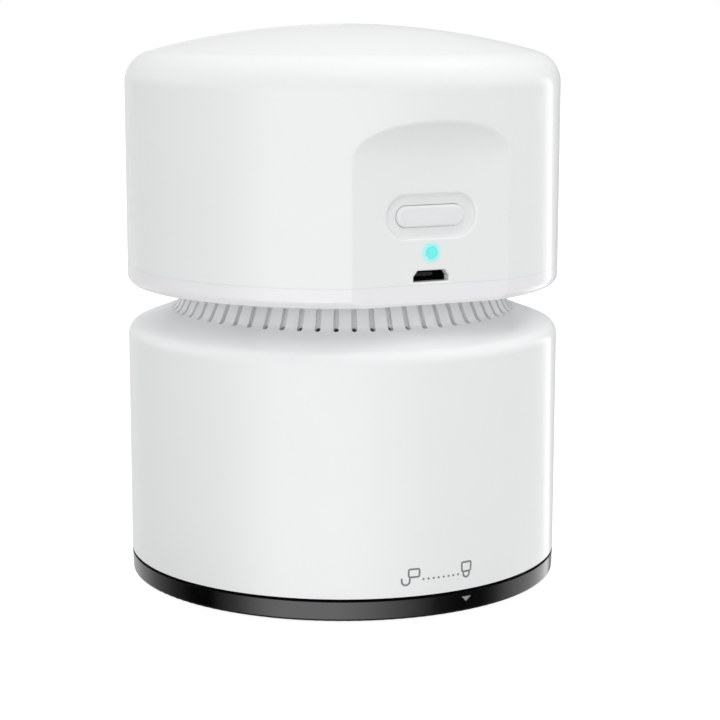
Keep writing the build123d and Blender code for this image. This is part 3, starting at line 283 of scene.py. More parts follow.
class GrowthBench(Bench):
    """A Geometry Nodes tree with named inputs, which ends in a plain realised mesh."""

    def __init__(self, name: str, inputs: Mapping[str, Any], material: bpy.types.Material) -> None:
        """Starts a tree.

        Args:
            name: The tree's name.
            inputs: Names and values of its inputs. A whole number makes a whole-number input.
            material: The finish of what it makes.
        """
        super().__init__(bpy.data.node_groups.new(name, "GeometryNodeTree"))
        self.values = dict(inputs)
        self.material = material
        face = self.tree.interface
        face.new_socket("Geometry", in_out="INPUT", socket_type="NodeSocketGeometry")
        face.new_socket("Geometry", in_out="OUTPUT", socket_type="NodeSocketGeometry")
        for key, value in self.values.items():
            kind = "NodeSocketInt" if isinstance(value, int) else "NodeSocketFloat"
            face.new_socket(key, in_out="INPUT", socket_type=kind)
        face.new_socket("Finish", in_out="INPUT", socket_type="NodeSocketMaterial")
        self.source = self.add("NodeGroupInput")

    def ask(self, name: str) -> Wire:
        """The wire of a named input."""
        return self.source.other(name)

    def grow(self, shape: Wire, points: Sequence[Vector]) -> bpy.types.Mesh:
        """Ends the tree, runs it on a set of points and takes the result out as a plain mesh.

        Args:
            shape: The geometry to hand out.
            points: Places that the tree starts from.

        Returns:
            The mesh, with its finish.
        """
        real = self.add("GeometryNodeRealizeInstances", inputs={"Geometry": shape})
        smooth = self.add("GeometryNodeSetShadeSmooth", inputs={"Geometry": real})
        dressed = {"Geometry": smooth, "Material": self.ask("Finish")}
        done = self.add("GeometryNodeSetMaterial", inputs=dressed)
        self.add("NodeGroupOutput", inputs={"Geometry": done})
        seed_mesh = bpy.data.meshes.new(self.tree.name)
        seed_mesh.from_pydata([tuple(point) for point in points], [], [])
        holder = bpy.data.objects.new(self.tree.name, seed_mesh)
        bpy.context.scene.collection.objects.link(holder)
        modifier = holder.modifiers.new(self.tree.name, "NODES")
        modifier.node_group = self.tree
        values = {**self.values, "Finish": self.material}
        for item in self.tree.interface.items_tree:
            if item.in_out == "INPUT" and item.name in values:
                modifier[item.identifier] = values[item.name]
        graph = bpy.context.evaluated_depsgraph_get()
        mesh = bpy.data.meshes.new_from_object(holder.evaluated_get(graph), depsgraph=graph)
        bpy.data.objects.remove(holder)
        return mesh


# ---- Finishes ----


def blend_tint(colour: Colour, share: float) -> Colour:
    """A colour made lighter or darker by a share."""
    return tuple(channel * share for channel in colour)


@dataclass(frozen=True)
class Finish:
    """A surface finish, which builds one material."""

    name: str
    tint: Colour

    def surface(self, bench: MaterialBench) -> Wire:
        """The finish's shader."""
        raise NotImplementedError

    def build(self) -> bpy.types.Material:
        """Builds the material."""
        bench = MaterialBench(self.name)
        return bench.close(self.surface(bench))


@dataclass(frozen=True)
class Plastic(Finish):
    """Moulded plastic: a fine mould texture, faint flow marks and handling haze."""

    roughness: float = 0.35
    haze: float = 0.05
    texture: float = 0.45 * MM
    depth: float = 0.003 * MM
    flow: float = 0.02
    cloud: float = 14 * MM
    ior: float = 1.5
    coat: float = 0.0
    coat_roughness: float = 0.06

    def sockets(self, bench: MaterialBench) -> dict[str, Any]:
        """What the shader's sockets get.

        Args:
            bench: The material's tree.

        Returns:
            Values and wires by socket name.
        """
        cells = bench.noise(self.texture, 3.0)
        clouds = bench.noise(self.cloud, 3.0)
        tone = bench.mix(clouds, blend_tint(self.tint, 1 - self.flow), self.tint)
        rough = cells * (self.haze / 2) + clouds * (self.haze / 2) + (self.roughness - self.haze / 2)
        return {
            "Base_Color": tone,
            "Roughness": rough,
            "Normal": bench.bump(cells, self.depth),
            "IOR": self.ior,
            "Coat_Weight": self.coat,
            "Coat_Roughness": self.coat_roughness,
        }

    def surface(self, bench: MaterialBench) -> Wire:
        """The finish's shader."""
        return bench.principled(**self.sockets(bench))


@dataclass(frozen=True)
class LitPlastic(Plastic):
    """Housing plastic round the lamp, with painted light: near the lamp its base colour is tinted cyan
    and it emits, standing in for the lamp's light that it takes up.
    """

    lamp: tuple[float, float, float] = (0.0, 0.0, 0.0)
    reach: float = 2.4 * MM
    core: float = 0.9 * MM
    # stain is no stain: it is the lamp's cyan light painted into the plastic's colour; glow is painted
    # emission there.
    stain: Colour = (0.3, 0.86, 0.86)
    glow: Colour = (0.0, 0.14, 0.13)

    def surface(self, bench: MaterialBench) -> Wire:
        """The plastic with a soft painted halo of the lamp's light about the lamp.

        Args:
            bench: The material's tree.

        Returns:
            The shader.
        """
        # Painted light: a cyan tint and emission that fade with distance from the lamp, though the
        # housing is no lamp.
        halo = bench.distance(Vector(self.lamp)).step(self.reach, self.core)
        sockets = self.sockets(bench)
        sockets["Base_Color"] = bench.mix(halo, sockets["Base_Color"], self.stain)
        sockets["Emission_Color"] = bench.mix(halo, (0.0, 0.0, 0.0), self.glow)
        return bench.principled(**sockets, Emission_Strength=1.0)


@dataclass(frozen=True)
class Lamp(Finish):
    """Light pipe, brightest round its middle, with the chip showing as a darker spot."""

    centre: tuple[float, float, float] = (0.0, 0.0, 0.0)
    radius: float = 1.1 * MM
    chip: Colour = (0.17, 0.78, 0.75)
    chip_r: float = 0.3 * MM
    chip_at: tuple[float, float, float] = (-0.6 * MM, 0.0, -0.1 * MM)
    frosting: float = 0.3 * MM

    def surface(self, bench: MaterialBench) -> Wire:
        """Clear plastic that glows.

        Args:
            bench: The material's tree.

        Returns:
            The shader.
        """
        away = bench.distance(Vector(self.centre))
        rim = away.step(self.radius * 0.5, self.radius * 1.2)
        spot_at = Vector(self.centre) + Vector(self.chip_at)
        spot = bench.distance(spot_at).step(self.chip_r * 2, self.chip_r * 0.5)
        glow = bench.mix(spot, bench.mix(rim, self.tint, blend_tint(self.tint, 0.9)), self.chip)
        frost = bench.noise(self.frosting, 3.0)
        return bench.principled(
            Base_Color=bench.mix(frost, (0.02, 0.03, 0.03), (0.03, 0.05, 0.05)),
            Roughness=frost * 0.1 + 0.15,
            Normal=bench.bump(frost, 0.004 * MM),
            Emission_Color=glow,
            Emission_Strength=1.0,
        )


@dataclass(frozen=True)
class Metal(Finish):
    """Bare or plated metal with the lines of its making and a little tarnish."""

    grain: Grain = Grain.CAST
    drawn: float = 0.03
    roughness: float = 0.3
    line: float = 0.12 * MM
    depth: float = 0.002 * MM
    tarnish: float = 0.18
    patch: float = 5 * MM

    def lines(self, bench: MaterialBench) -> Wire:
        """Noise drawn out along the tool's way.

        Args:
            bench: The material's tree.

        Returns:
            Noise from 0 to 1.
        """
        x, y, z = bench.split(bench.place)
        if self.grain is Grain.ROUND_Z:
            radius = (x * x + y * y) ** 0.5
            return bench.noise(self.line, 2.0, bench.join(radius, z, bench.turn() * (self.line * 2)))
        if self.grain is Grain.ALONG_Z:
            return bench.noise(self.line, 2.0, bench.join(x, y, z * self.drawn))
        return bench.noise(self.line * 4, 4.0)

    def surface(self, bench: MaterialBench) -> Wire:
        """Metal with its lines and with patches of tarnish.

        Args:
            bench: The material's tree.

        Returns:
            The shader.
        """
        lines = self.lines(bench)
        patches = bench.noise(self.patch, 4.0).step(0.42, 0.7)
        return bench.principled(
            Base_Color=bench.mix(patches, self.tint, blend_tint(self.tint, 1 - self.tarnish)),
            Metallic=1.0,
            Roughness=lines * 0.14 + patches * 0.08 + (self.roughness - 0.07),
            Normal=bench.bump(lines, self.depth),
        )


@dataclass(frozen=True)
class Laminations(Metal):
    """Core of thin stacked sheets, seen as fine rings."""

    sheet: float = 0.5 * MM
    stain: float = 1.5 * MM

    def surface(self, bench: MaterialBench) -> Wire:
        """Metal with a dark joint at each sheet.

        Args:
            bench: The material's tree.

        Returns:
            The shader.
        """
        _, _, z = bench.split(bench.place)
        joint = (z / self.sheet).math("PINGPONG", z / self.sheet, 0.5).step(0.06, 0.14)
        oxide = bench.noise(self.stain, 4.0)
        steel = bench.mix(oxide, self.tint, blend_tint(self.tint, 0.8))
        return bench.principled(
            Base_Color=bench.mix(joint, blend_tint(self.tint, 0.25), steel),
            Metallic=1.0,
            Roughness=oxide * 0.15 + 0.3,
            Normal=bench.bump(joint, 0.03 * MM),
        )


@dataclass(frozen=True)
class Soft(Finish):
    """Rubber, foam, ferrite or filter paper: a dull surface with pores or fibres."""

    pore: float = 0.3 * MM
    depth: float = 0.02 * MM
    roughness: float = 0.8
    stretch: float = 1.0
    speckle: float = 0.15
    cloud: float = 6 * MM

    def surface(self, bench: MaterialBench) -> Wire:
        """Dull surface with fibres or pores and faint clouds.

        Args:
            bench: The material's tree.

        Returns:
            The shader.
        """
        x, y, z = bench.split(bench.place)
        fibres = bench.noise(self.pore, 4.0, bench.join(x, y, z * self.stretch))
        clouds = bench.noise(self.cloud, 3.0)
        tone = bench.mix(fibres, blend_tint(self.tint, 1 - self.speckle), self.tint)
        return bench.principled(
            Base_Color=bench.mix(clouds * 0.4, tone, blend_tint(self.tint, 0.9)),
            Roughness=fibres * 0.12 + (self.roughness - 0.06),
            Normal=bench.bump(fibres, self.depth),
        )


@dataclass(frozen=True)
class CellWrap(Finish):
    """Shrink sleeve of the cell, bare metal at both ends."""

    low: float = 0.0
    high: float = 0.0
    edge: float = 0.2 * MM
    wave: float = 1.2 * MM
    wrap: Colour = (0.02, 0.1, 0.28)

    def surface(self, bench: MaterialBench) -> Wire:
        """Sleeve between the ends, slightly rippled, and steel beyond them.

        Args:
            bench: The material's tree.

        Returns:
            The shader.
        """
        _, _, z = bench.split(bench.place)
        sleeve = z.step(self.low, self.low + self.edge) * z.step(self.high, self.high - self.edge)
        ripple = bench.noise(self.wave, 3.0)
        film = bench.mix(ripple, self.wrap, blend_tint(self.wrap, 1.3))
        return bench.principled(
            Base_Color=bench.mix(sleeve, self.tint, film),
            Metallic=1 - sleeve,
            Roughness=ripple * 0.12 + 0.25,
            Normal=bench.bump(ripple, 0.015 * MM),
        )


@dataclass(frozen=True)
class SolderMask(Finish):
    """Board with its lacquer over copper tracks."""

    track: float = 1.1 * MM
    wander: float = 7 * MM
    weave: float = 0.2 * MM

    def surface(self, bench: MaterialBench) -> Wire:
        """Lacquer, a little lighter and raised over the tracks.

        Args:
            bench: The material's tree.

        Returns:
            The shader.
        """
        x, _, z = bench.split(bench.place)
        drift = bench.noise(self.wander, 1.0) * 2.5
        rows = (z / self.track + drift).math("PINGPONG", z / self.track + drift, 0.5).step(0.2, 0.26)
        columns = (x / self.track).math("PINGPONG", x / self.track, 0.5).step(0.3, 0.36)
        tracks = rows * (1 - columns * 0.35)
        glass = bench.noise(self.weave, 2.0)
        return bench.principled(
            Base_Color=bench.mix(tracks, self.tint, blend_tint(self.tint, 1.7)),
            Roughness=glass * 0.1 + 0.28,
            Normal=bench.bump(tracks, 0.03 * MM),
        )


@dataclass(frozen=True)
class Ink(Finish):
    """Screen-printed ink with pinholes."""

    pinhole: float = 0.12 * MM

    def surface(self, bench: MaterialBench) -> Wire:
        """Dull ink, paler where it is thin.

        Args:
            bench: The material's tree.

        Returns:
            The shader.
        """
        speck = bench.noise(self.pinhole, 3.0)
        return bench.principled(
            Base_Color=bench.mix(speck.step(0.3, 0.75), self.tint, blend_tint(self.tint, 1.12)),
            Roughness=speck * 0.15 + 0.45,
            Normal=bench.bump(speck, 0.002 * MM),
        )


# ---- Pieces ----


def dress(nodes: Sequence[str], finish: Finish) -> None:
    """Gives CAD nodes a finish.

    Args:
        nodes: Names of the nodes.
        finish: The finish that they share.
    """
    material = finish.build()
    for node in nodes:
        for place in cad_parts[node].material_slots:
            place.material = material
    LOG.info("%s: %s", finish.name, ", ".join(nodes))


def place_piece(name: str, mesh: bpy.types.Mesh, body: Body) -> bpy.types.Object:
    """Adds a finished mesh as a piece that rides on a body.

    Args:
        name: The piece's name.
        mesh: Its mesh, already in place and with its material.
        body: The body that it rides on.

    Returns:
        The new object.
    """
    piece = bpy.data.objects.new(name, mesh)
    bpy.context.scene.collection.objects.link(piece)
    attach(piece, body.value)
    LOG.info("%s: %d faces on %s", name, len(mesh.polygons), body.value)
    return piece


def mesh_of(name: str, form: Form, material: bpy.types.Material) -> bpy.types.Mesh:
    """Turns a bmesh into a mesh with outward faces and one material.

    Args:
        name: The mesh's name.
        form: The bmesh, which is freed.
        material: Its finish.

    Returns:
        The mesh.
    """
    bmesh.ops.recalc_face_normals(form, faces=form.faces)
    mesh = bpy.data.meshes.new(name)
    form.to_mesh(mesh)
    form.free()
    mesh.materials.append(material)
    return mesh


def arc(centre: Point, radius: float, start: float, end: float, steps: int = 8) -> list[Point]:
    """Points on an arc, from one angle to another, both included.

    Args:
        centre: The arc's centre.
        radius: Its radius.
        start: Angle of the first point.
        end: Angle of the last point.
        steps: Number of steps between them.

    Returns:
        The points.
    """
    turns = [radians(start + (end - start) * step / steps) for step in range(steps + 1)]
    return [(centre[0] + radius * cos(turn), centre[1] + radius * sin(turn)) for turn in turns]


@dataclass
class PrintedMarks:
    """Thin ink films on a round wall. Shapes are drawn flat, in millimetres, and wrapped round it."""

    line_mm: float = 0.34
    film_mm: float = 0.02
    sunk_mm: float = 0.05

    def wrap(self, point: Point, proud: float, wall: Wall) -> Vector:
        """Place on the wall of a flat point.

        Args:
            point: Arc from the front and height, in millimetres.
            proud: How far it stands out of the wall, in millimetres.
            wall: The wall's radius at a height in millimetres.

        Returns:
            The place, in metres.
        """
        turn = point[0] * MM / BODY_R
        radius = wall(point[1]) + proud * MM
        return Vector((radius * sin(turn), -radius * cos(turn), point[1] * MM))

    def stroke(self, form: Form, path: Sequence[Point], closed: bool, wall: Wall) -> None:
        """Draws a line of the marks' width along a path.

        Args:
            form: The bmesh that gets the line.
            path: Points of its middle, in millimetres.
            closed: Whether the last point joins the first.
            wall: The wall's radius at a height in millimetres.
        """
        half = self.line_mm / 2
        count = len(path)
        edges = []
        for at, (u, v) in enumerate(path):
            before = path[at - 1] if closed or at else path[at]
            after = path[(at + 1) % count] if closed or at < count - 1 else path[at]
            along = Vector((after[0] - before[0], after[1] - before[1])).normalized() * half
            edges.append(((u - along.y, v + along.x), (u + along.y, v - along.x)))
        last = count if closed else count - 1
        top, floor = (
            [[form.verts.new(self.wrap(side, proud, wall)) for side in sides] for sides in edges]
            for proud in (self.film_mm, -self.sunk_mm)
        )
        for at in range(last):
            then = (at + 1) % count
            form.faces.new((top[at][0], top[at][1], top[then][1], top[then][0]))
            form.faces.new((floor[at][1], floor[at][0], floor[then][0], floor[then][1]))
            form.faces.new((top[at][0], top[then][0], floor[then][0], floor[at][0]))
            form.faces.new((top[then][1], top[at][1], floor[at][1], floor[then][1]))
        if not closed:
            for at in (0, count - 1):
                form.faces.new((top[at][0], top[at][1], floor[at][1], floor[at][0]))

    def patch(self, form: Form, outline: Sequence[Point], wall: Wall) -> None:
        """Draws a filled outline.

        Args:
            form: The bmesh that gets the patch.
            outline: Its corners, in millimetres.
            wall: The wall's radius at a height in millimetres.
        """
        outer = [form.verts.new(self.wrap(point, self.film_mm, wall)) for point in outline]
        inner = [form.verts.new(self.wrap(point, -self.sunk_mm, wall)) for point in outline]
        form.faces.new(outer)
        form.faces.new(reversed(inner))
        for at in range(len(outline)):
            then = (at + 1) % len(outline)
            form.faces.new((outer[at], inner[at], inner[then], outer[then]))


def rounded_box(
    centre: Point, width: float, height: float, corner: float, foot: float = 1.0
) -> list[Point]:
    """Closed outline of a box with round corners.

    Args:
        centre: Its middle.
        width: Its width at the top.
        height: Its height.
        corner: Radius of the corners.
        foot: Its width at the bottom as a share of the width at the top.

    Returns:
        The outline's points, anticlockwise.
    """
    right, top = width / 2 - corner, height / 2 - corner
    points: list[Point] = []
    for sign_u, sign_v, start in ((1, 1, 0), (-1, 1, 90), (-1, -1, 180), (1, -1, 270)):
        share = 1.0 if sign_v > 0 else foot
        middle = (centre[0] + sign_u * right * share, centre[1] + sign_v * top)
        points += arc(middle, corner, start, start + 90, 5)
    return points


@dataclass
class LockMarks(PrintedMarks):
    """Marks that show how the base turns: an open lock, a row of dots, a closed lock and a pointer."""

    open_at: Point = (-4.5, 8.95)
    shut_at: Point = (6.43, 8.92)
    body_w: float = 2.1
    body_h: float = 1.5
    shut_h: float = 1.78
    corner: float = 0.3
    shut_foot: float = 0.9
    leg_inset: float = 0.204
    hook_r: float = 0.78
    hook_drop: float = 0.5
    hook_end: float = 0.05
    shackle_r: float = 0.67
    shackle_h: float = 0.63
    bow_share: float = 0.55
    dots: int = 8
    dot_r: float = 0.21
    dots_from: float = -2.66
    dots_to: float = 4.58
    dots_height: float = 7.64
    pointer_at: Point = (6.53, 2.69)
    pointer_w: float = 2.1
    pointer_h: float = 0.95
    ring_top_mm: float = 3.95
    ring_h_mm: float = 3.7
    ring_taper_mm: float = 0.15

    def bin_wall(self, height_mm: float) -> float:
        """The bin's wall is upright."""
        return BODY_R

    def ring_wall(self, height_mm: float) -> float:
        """The base ring's wall leans in towards its foot."""
        drop = self.ring_top_mm - height_mm
        return BODY_R - self.ring_taper_mm * drop / self.ring_h_mm * MM

    def locks(self, material: bpy.types.Material) -> bpy.types.Mesh:
        """Both locks, each with its shackle below its body.

        Args:
            material: The ink.

        Returns:
            Their mesh.
        """
        form = bmesh.new()
        u, v = self.open_at
        body = rounded_box(self.open_at, self.body_w, self.body_h, self.corner)
        self.stroke(form, body, True, self.bin_wall)
        leg = u - self.body_w / 2 + self.leg_inset
        foot = v - self.body_h / 2 - self.line_mm / 2
        bend = foot - self.hook_drop
        hook = [(leg, foot), *arc((leg - self.hook_r, bend), self.hook_r, 0, -180, 12)]
        hook.append((leg - 2 * self.hook_r, foot + self.hook_end))
        self.stroke(form, hook, False, self.bin_wall)
        u, v = self.shut_at
        body = rounded_box(self.shut_at, self.body_w, self.shut_h, self.corner, self.shut_foot)
        self.stroke(form, body, True, self.bin_wall)
        foot = v - self.shut_h / 2 - self.line_mm / 2
        low = foot - self.shackle_h + self.shackle_r * self.bow_share
        bow = arc((u, low), self.shackle_r, 0, -180, 12)
        shackle = [(u + self.shackle_r, foot), *bow, (u - self.shackle_r, foot)]
        self.stroke(form, shackle, False, self.bin_wall)
        return mesh_of("lock_marks", form, material)

    def dot_row(self, material: bpy.types.Material) -> bpy.types.Mesh:
        """Dots from one lock to the other, made by Geometry Nodes.

        Args:
            material: The ink.

        Returns:
            Their mesh.
        """
        depth = (self.film_mm + self.sunk_mm) * MM
        inputs = {"Dot Radius": self.dot_r * MM, "Film": depth, "Sides": 16}
        bench = GrowthBench("lock_dots", inputs, material)
        disc = bench.add(
            "GeometryNodeMeshCylinder",
            {"fill_type": "NGON"},
            {
                "Vertices": bench.ask("Sides"),
                "Radius": bench.ask("Dot Radius"),
                "Depth": bench.ask("Film"),
            },
        )
        flat = bench.add(
            "GeometryNodeTransform", inputs={"Geometry": disc, "Rotation": Euler((radians(90), 0, 0))}
        )
        place = bench.add("GeometryNodeInputPosition")
        x = bench.add("ShaderNodeSeparateXYZ", inputs={0: place})
        turn = x.math("ARCTAN2", x, x.other("Y") * -1)
        upright = bench.add("ShaderNodeCombineXYZ", inputs={2: turn})
        dots = bench.add(
            "GeometryNodeInstanceOnPoints",
            inputs={"Points": bench.ask("Geometry"), "Instance": flat, "Rotation": upright},
        )
        step = (self.dots_to - self.dots_from) / (self.dots - 1)
        middle = (self.film_mm - self.sunk_mm) / 2
        spots = [(self.dots_from + step * at, self.dots_height) for at in range(self.dots)]
        return bench.grow(dots, [self.wrap(spot, middle, self.bin_wall) for spot in spots])

    def pointer(self, material: bpy.types.Material) -> bpy.types.Mesh:
        """Triangle on the base ring, point down.

        Args:
            material: The ink.

        Returns:
            Its mesh.
        """
        u, v = self.pointer_at
        half, rise = self.pointer_w / 2, self.pointer_h / 2
        form = bmesh.new()
        self.patch(form, [(u - half, v + rise), (u, v - rise), (u + half, v + rise)], self.ring_wall)
        return mesh_of("lock_pointer", form, material)

    def build(self) -> None:
        """Prints the marks on the bin and the pointer on the base."""
        grey = Ink("grey_ink", (0.2, 0.21, 0.215)).build()
        place_piece("lock_marks", self.locks(grey), Body.HOUSING)
        place_piece("lock_dots", self.dot_row(grey), Body.HOUSING)
        pale = Ink("pale_ink", (0.29, 0.29, 0.3)).build()
        place_piece("lock_pointer", self.pointer(pale), Body.BASE)


@dataclass
class Head:
    """White head: two shells, the push button, the lamp and the charging socket."""

    shell_tint: Colour = (0.918, 0.929, 0.929)
    trim_tint: Colour = (0.924, 0.924, 0.946)
    button_tint: Colour = (0.88, 0.886, 0.907)
    lamp_tint: Colour = (0.15, 0.85, 0.8)
    lamp_r: float = 1.1 * MM

    def build(self) -> None:
        """Dresses the head's outside."""
        low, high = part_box("light_pipe")
        lamp = (0.0, low.y, (low.z + high.z) / 2)
        gloss = {"roughness": 0.26, "coat": 0.35, "haze": 0.03, "depth": 0.001 * MM}
        # The top housing's material paints the lamp's cyan light and glow round the lamp.
        dress(["top_housing"], LitPlastic("head_gloss", self.shell_tint, lamp=lamp, **gloss))
        dress(["head_base"], Plastic("trim_gloss", self.trim_tint, **gloss))
        dress(["button_cap"], Plastic("button_satin", self.button_tint, roughness=0.3, coat=0.3))
        dress(["light_pipe"], Lamp("lamp_cyan", self.lamp_tint, centre=lamp, radius=self.lamp_r))
        # Painted shade: the nickel shell and the gold contacts get very dark tints so the socket's
        # inside reads black, as the shade in it would make it.
        dress(["usb_shell"], Metal("socket_nickel_painted_shade", (0.1, 0.1, 0.1), roughness=0.35, line=0.2 * MM))
        dress(["usb_tongue"], Plastic("tongue_black", (0.012, 0.012, 0.013), roughness=0.4))
        dress(["usb_contacts"], Metal("contact_gold_painted_shade", (0.3, 0.21, 0.09), roughness=0.3, line=0.1 * MM))


@dataclass
class Bin:
    """White dust bin with the shoulder and the vented neck."""

    tint: Colour = (0.918, 0.929, 0.929)

    def build(self) -> None:
        """Dresses the bin."""
        gloss = Plastic("bin_gloss", self.tint, roughness=0.28, coat=0.35, haze=0.03, depth=0.001 * MM)
        dress(["bin_shell"], gloss)


@dataclass
class Screws:
    """Every screw, zinc plated."""

    tint: Colour = (0.56, 0.56, 0.55)

    def build(self) -> None:
        """Dresses the screws."""
        names = ("housing", "neck", "shroud", "motor", "board", "base")
        dress([f"{name}_screws" for name in names], Metal("screw_zinc", self.tint, roughness=0.32))


@dataclass
class FilterSet:
    """Shroud, filter frame, pleats, mesh and seal."""

    paper: Colour = (0.72, 0.7, 0.63)

    def build(self) -> None:
        """Dresses the shroud and the filter."""
        shroud = Plastic("shroud_grey", (0.16, 0.165, 0.17), roughness=0.5, texture=0.8 * MM)
        dress(["fan_shroud"], shroud)
        filter_black = Plastic("frame_black", (0.02, 0.02, 0.021), roughness=0.5, texture=0.6 * MM)
        dress(["filter_frame"], filter_black)
        paper = Soft("filter_paper", self.paper, pore=0.25 * MM, stretch=0.4, depth=0.03 * MM)
        dress(["filter_pleats"], paper)
        dress(["filter_mesh"], Metal("mesh_steel", (0.5, 0.5, 0.49), roughness=0.35))
        dress(["filter_seal", "base_gasket"], Soft("seal_rubber", (0.03, 0.03, 0.03), roughness=0.7))


@dataclass
class Motor:
    """Fan and motor, fixed parts and turning parts."""

    steel: Colour = (0.55, 0.54, 0.52)

    def build(self) -> None:
        """Dresses the fan and the motor."""
        dress(["impeller"], Plastic("fan_grey", (0.2, 0.21, 0.22), roughness=0.38))
        dress(["motor_can"], Metal("can_zinc", self.steel, Grain.ALONG_Z, roughness=0.34))
        dress(["motor_shaft"], Metal("shaft_ground", (0.6, 0.6, 0.6), Grain.ROUND_Z, roughness=0.18))
        dress(["armature_core"], Laminations("core_sheets", (0.42, 0.41, 0.4)))
        winding = Metal("winding_copper", (0.72, 0.3, 0.12), Grain.ALONG_Z, roughness=0.3)
        dress(["armature_coils"], winding)
        copper = Metal("commutator_copper", (0.8, 0.42, 0.22), Grain.ROUND_Z, roughness=0.25)
        dress(["commutator"], copper)
        ferrite = Soft("magnet_ferrite", (0.05, 0.05, 0.055), pore=0.2 * MM, roughness=0.55)
        dress(["motor_magnets"], ferrite)
        dress(["motor_brushes"], Metal("brush_carbon", (0.12, 0.11, 0.1), roughness=0.5))
        dress(["motor_bushes"], Metal("bush_bronze", (0.62, 0.42, 0.2), Grain.ROUND_Z, roughness=0.38))
        dress(["motor_tabs"], Metal("tab_tinned", (0.7, 0.69, 0.66), roughness=0.3))
        dress(["motor_end_cap"], Plastic("cap_nylon", (0.025, 0.025, 0.027), roughness=0.45))
        dress(["motor_sleeve"], Soft("sleeve_rubber", (0.025, 0.025, 0.026), roughness=0.75))


@dataclass
class Power:
    """Cell, board and leads."""

    mask: Colour = (0.008, 0.11, 0.045)
    bare_end: float = 0.9 * MM

    def build(self) -> None:
        """Dresses what carries the current. The cell's sleeve stops below its cap."""
        low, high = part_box("battery_cell")
        ends = {"low": low.z - self.bare_end, "high": high.z - self.bare_end}
        dress(["battery_cell"], CellWrap("cell_sleeve", (0.6, 0.6, 0.58), **ends))
        dress(["battery_cradle"], Plastic("cradle_black", (0.022, 0.022, 0.023), roughness=0.5))
        dress(["battery_strips"], Metal("strip_nickel", (0.66, 0.62, 0.56), roughness=0.3))
        dress(["battery_pad"], Soft("pad_foam", (0.05, 0.05, 0.052), pore=0.5 * MM, depth=0.12 * MM))
        dress(["control_board"], SolderMask("board_lacquer", self.mask))
        dress(["tact_switch", "charge_chip"], Plastic("chip_epoxy", (0.02, 0.02, 0.021), roughness=0.45))
        dress(["switch_plunger"], Plastic("plunger_black", (0.03, 0.03, 0.03), roughness=0.4))
        dress(["led_chip"], Plastic("led_ceramic", (0.75, 0.74, 0.68), roughness=0.4))
        red = Plastic("lead_red", (0.5, 0.015, 0.012), roughness=0.4, texture=0.7 * MM)
        black = Plastic("lead_black", (0.018, 0.018, 0.018), roughness=0.4, texture=0.7 * MM)
        dress(["motor_lead_a", "battery_lead_plus"], red)
        dress(["motor_lead_b", "battery_lead_minus"], black)


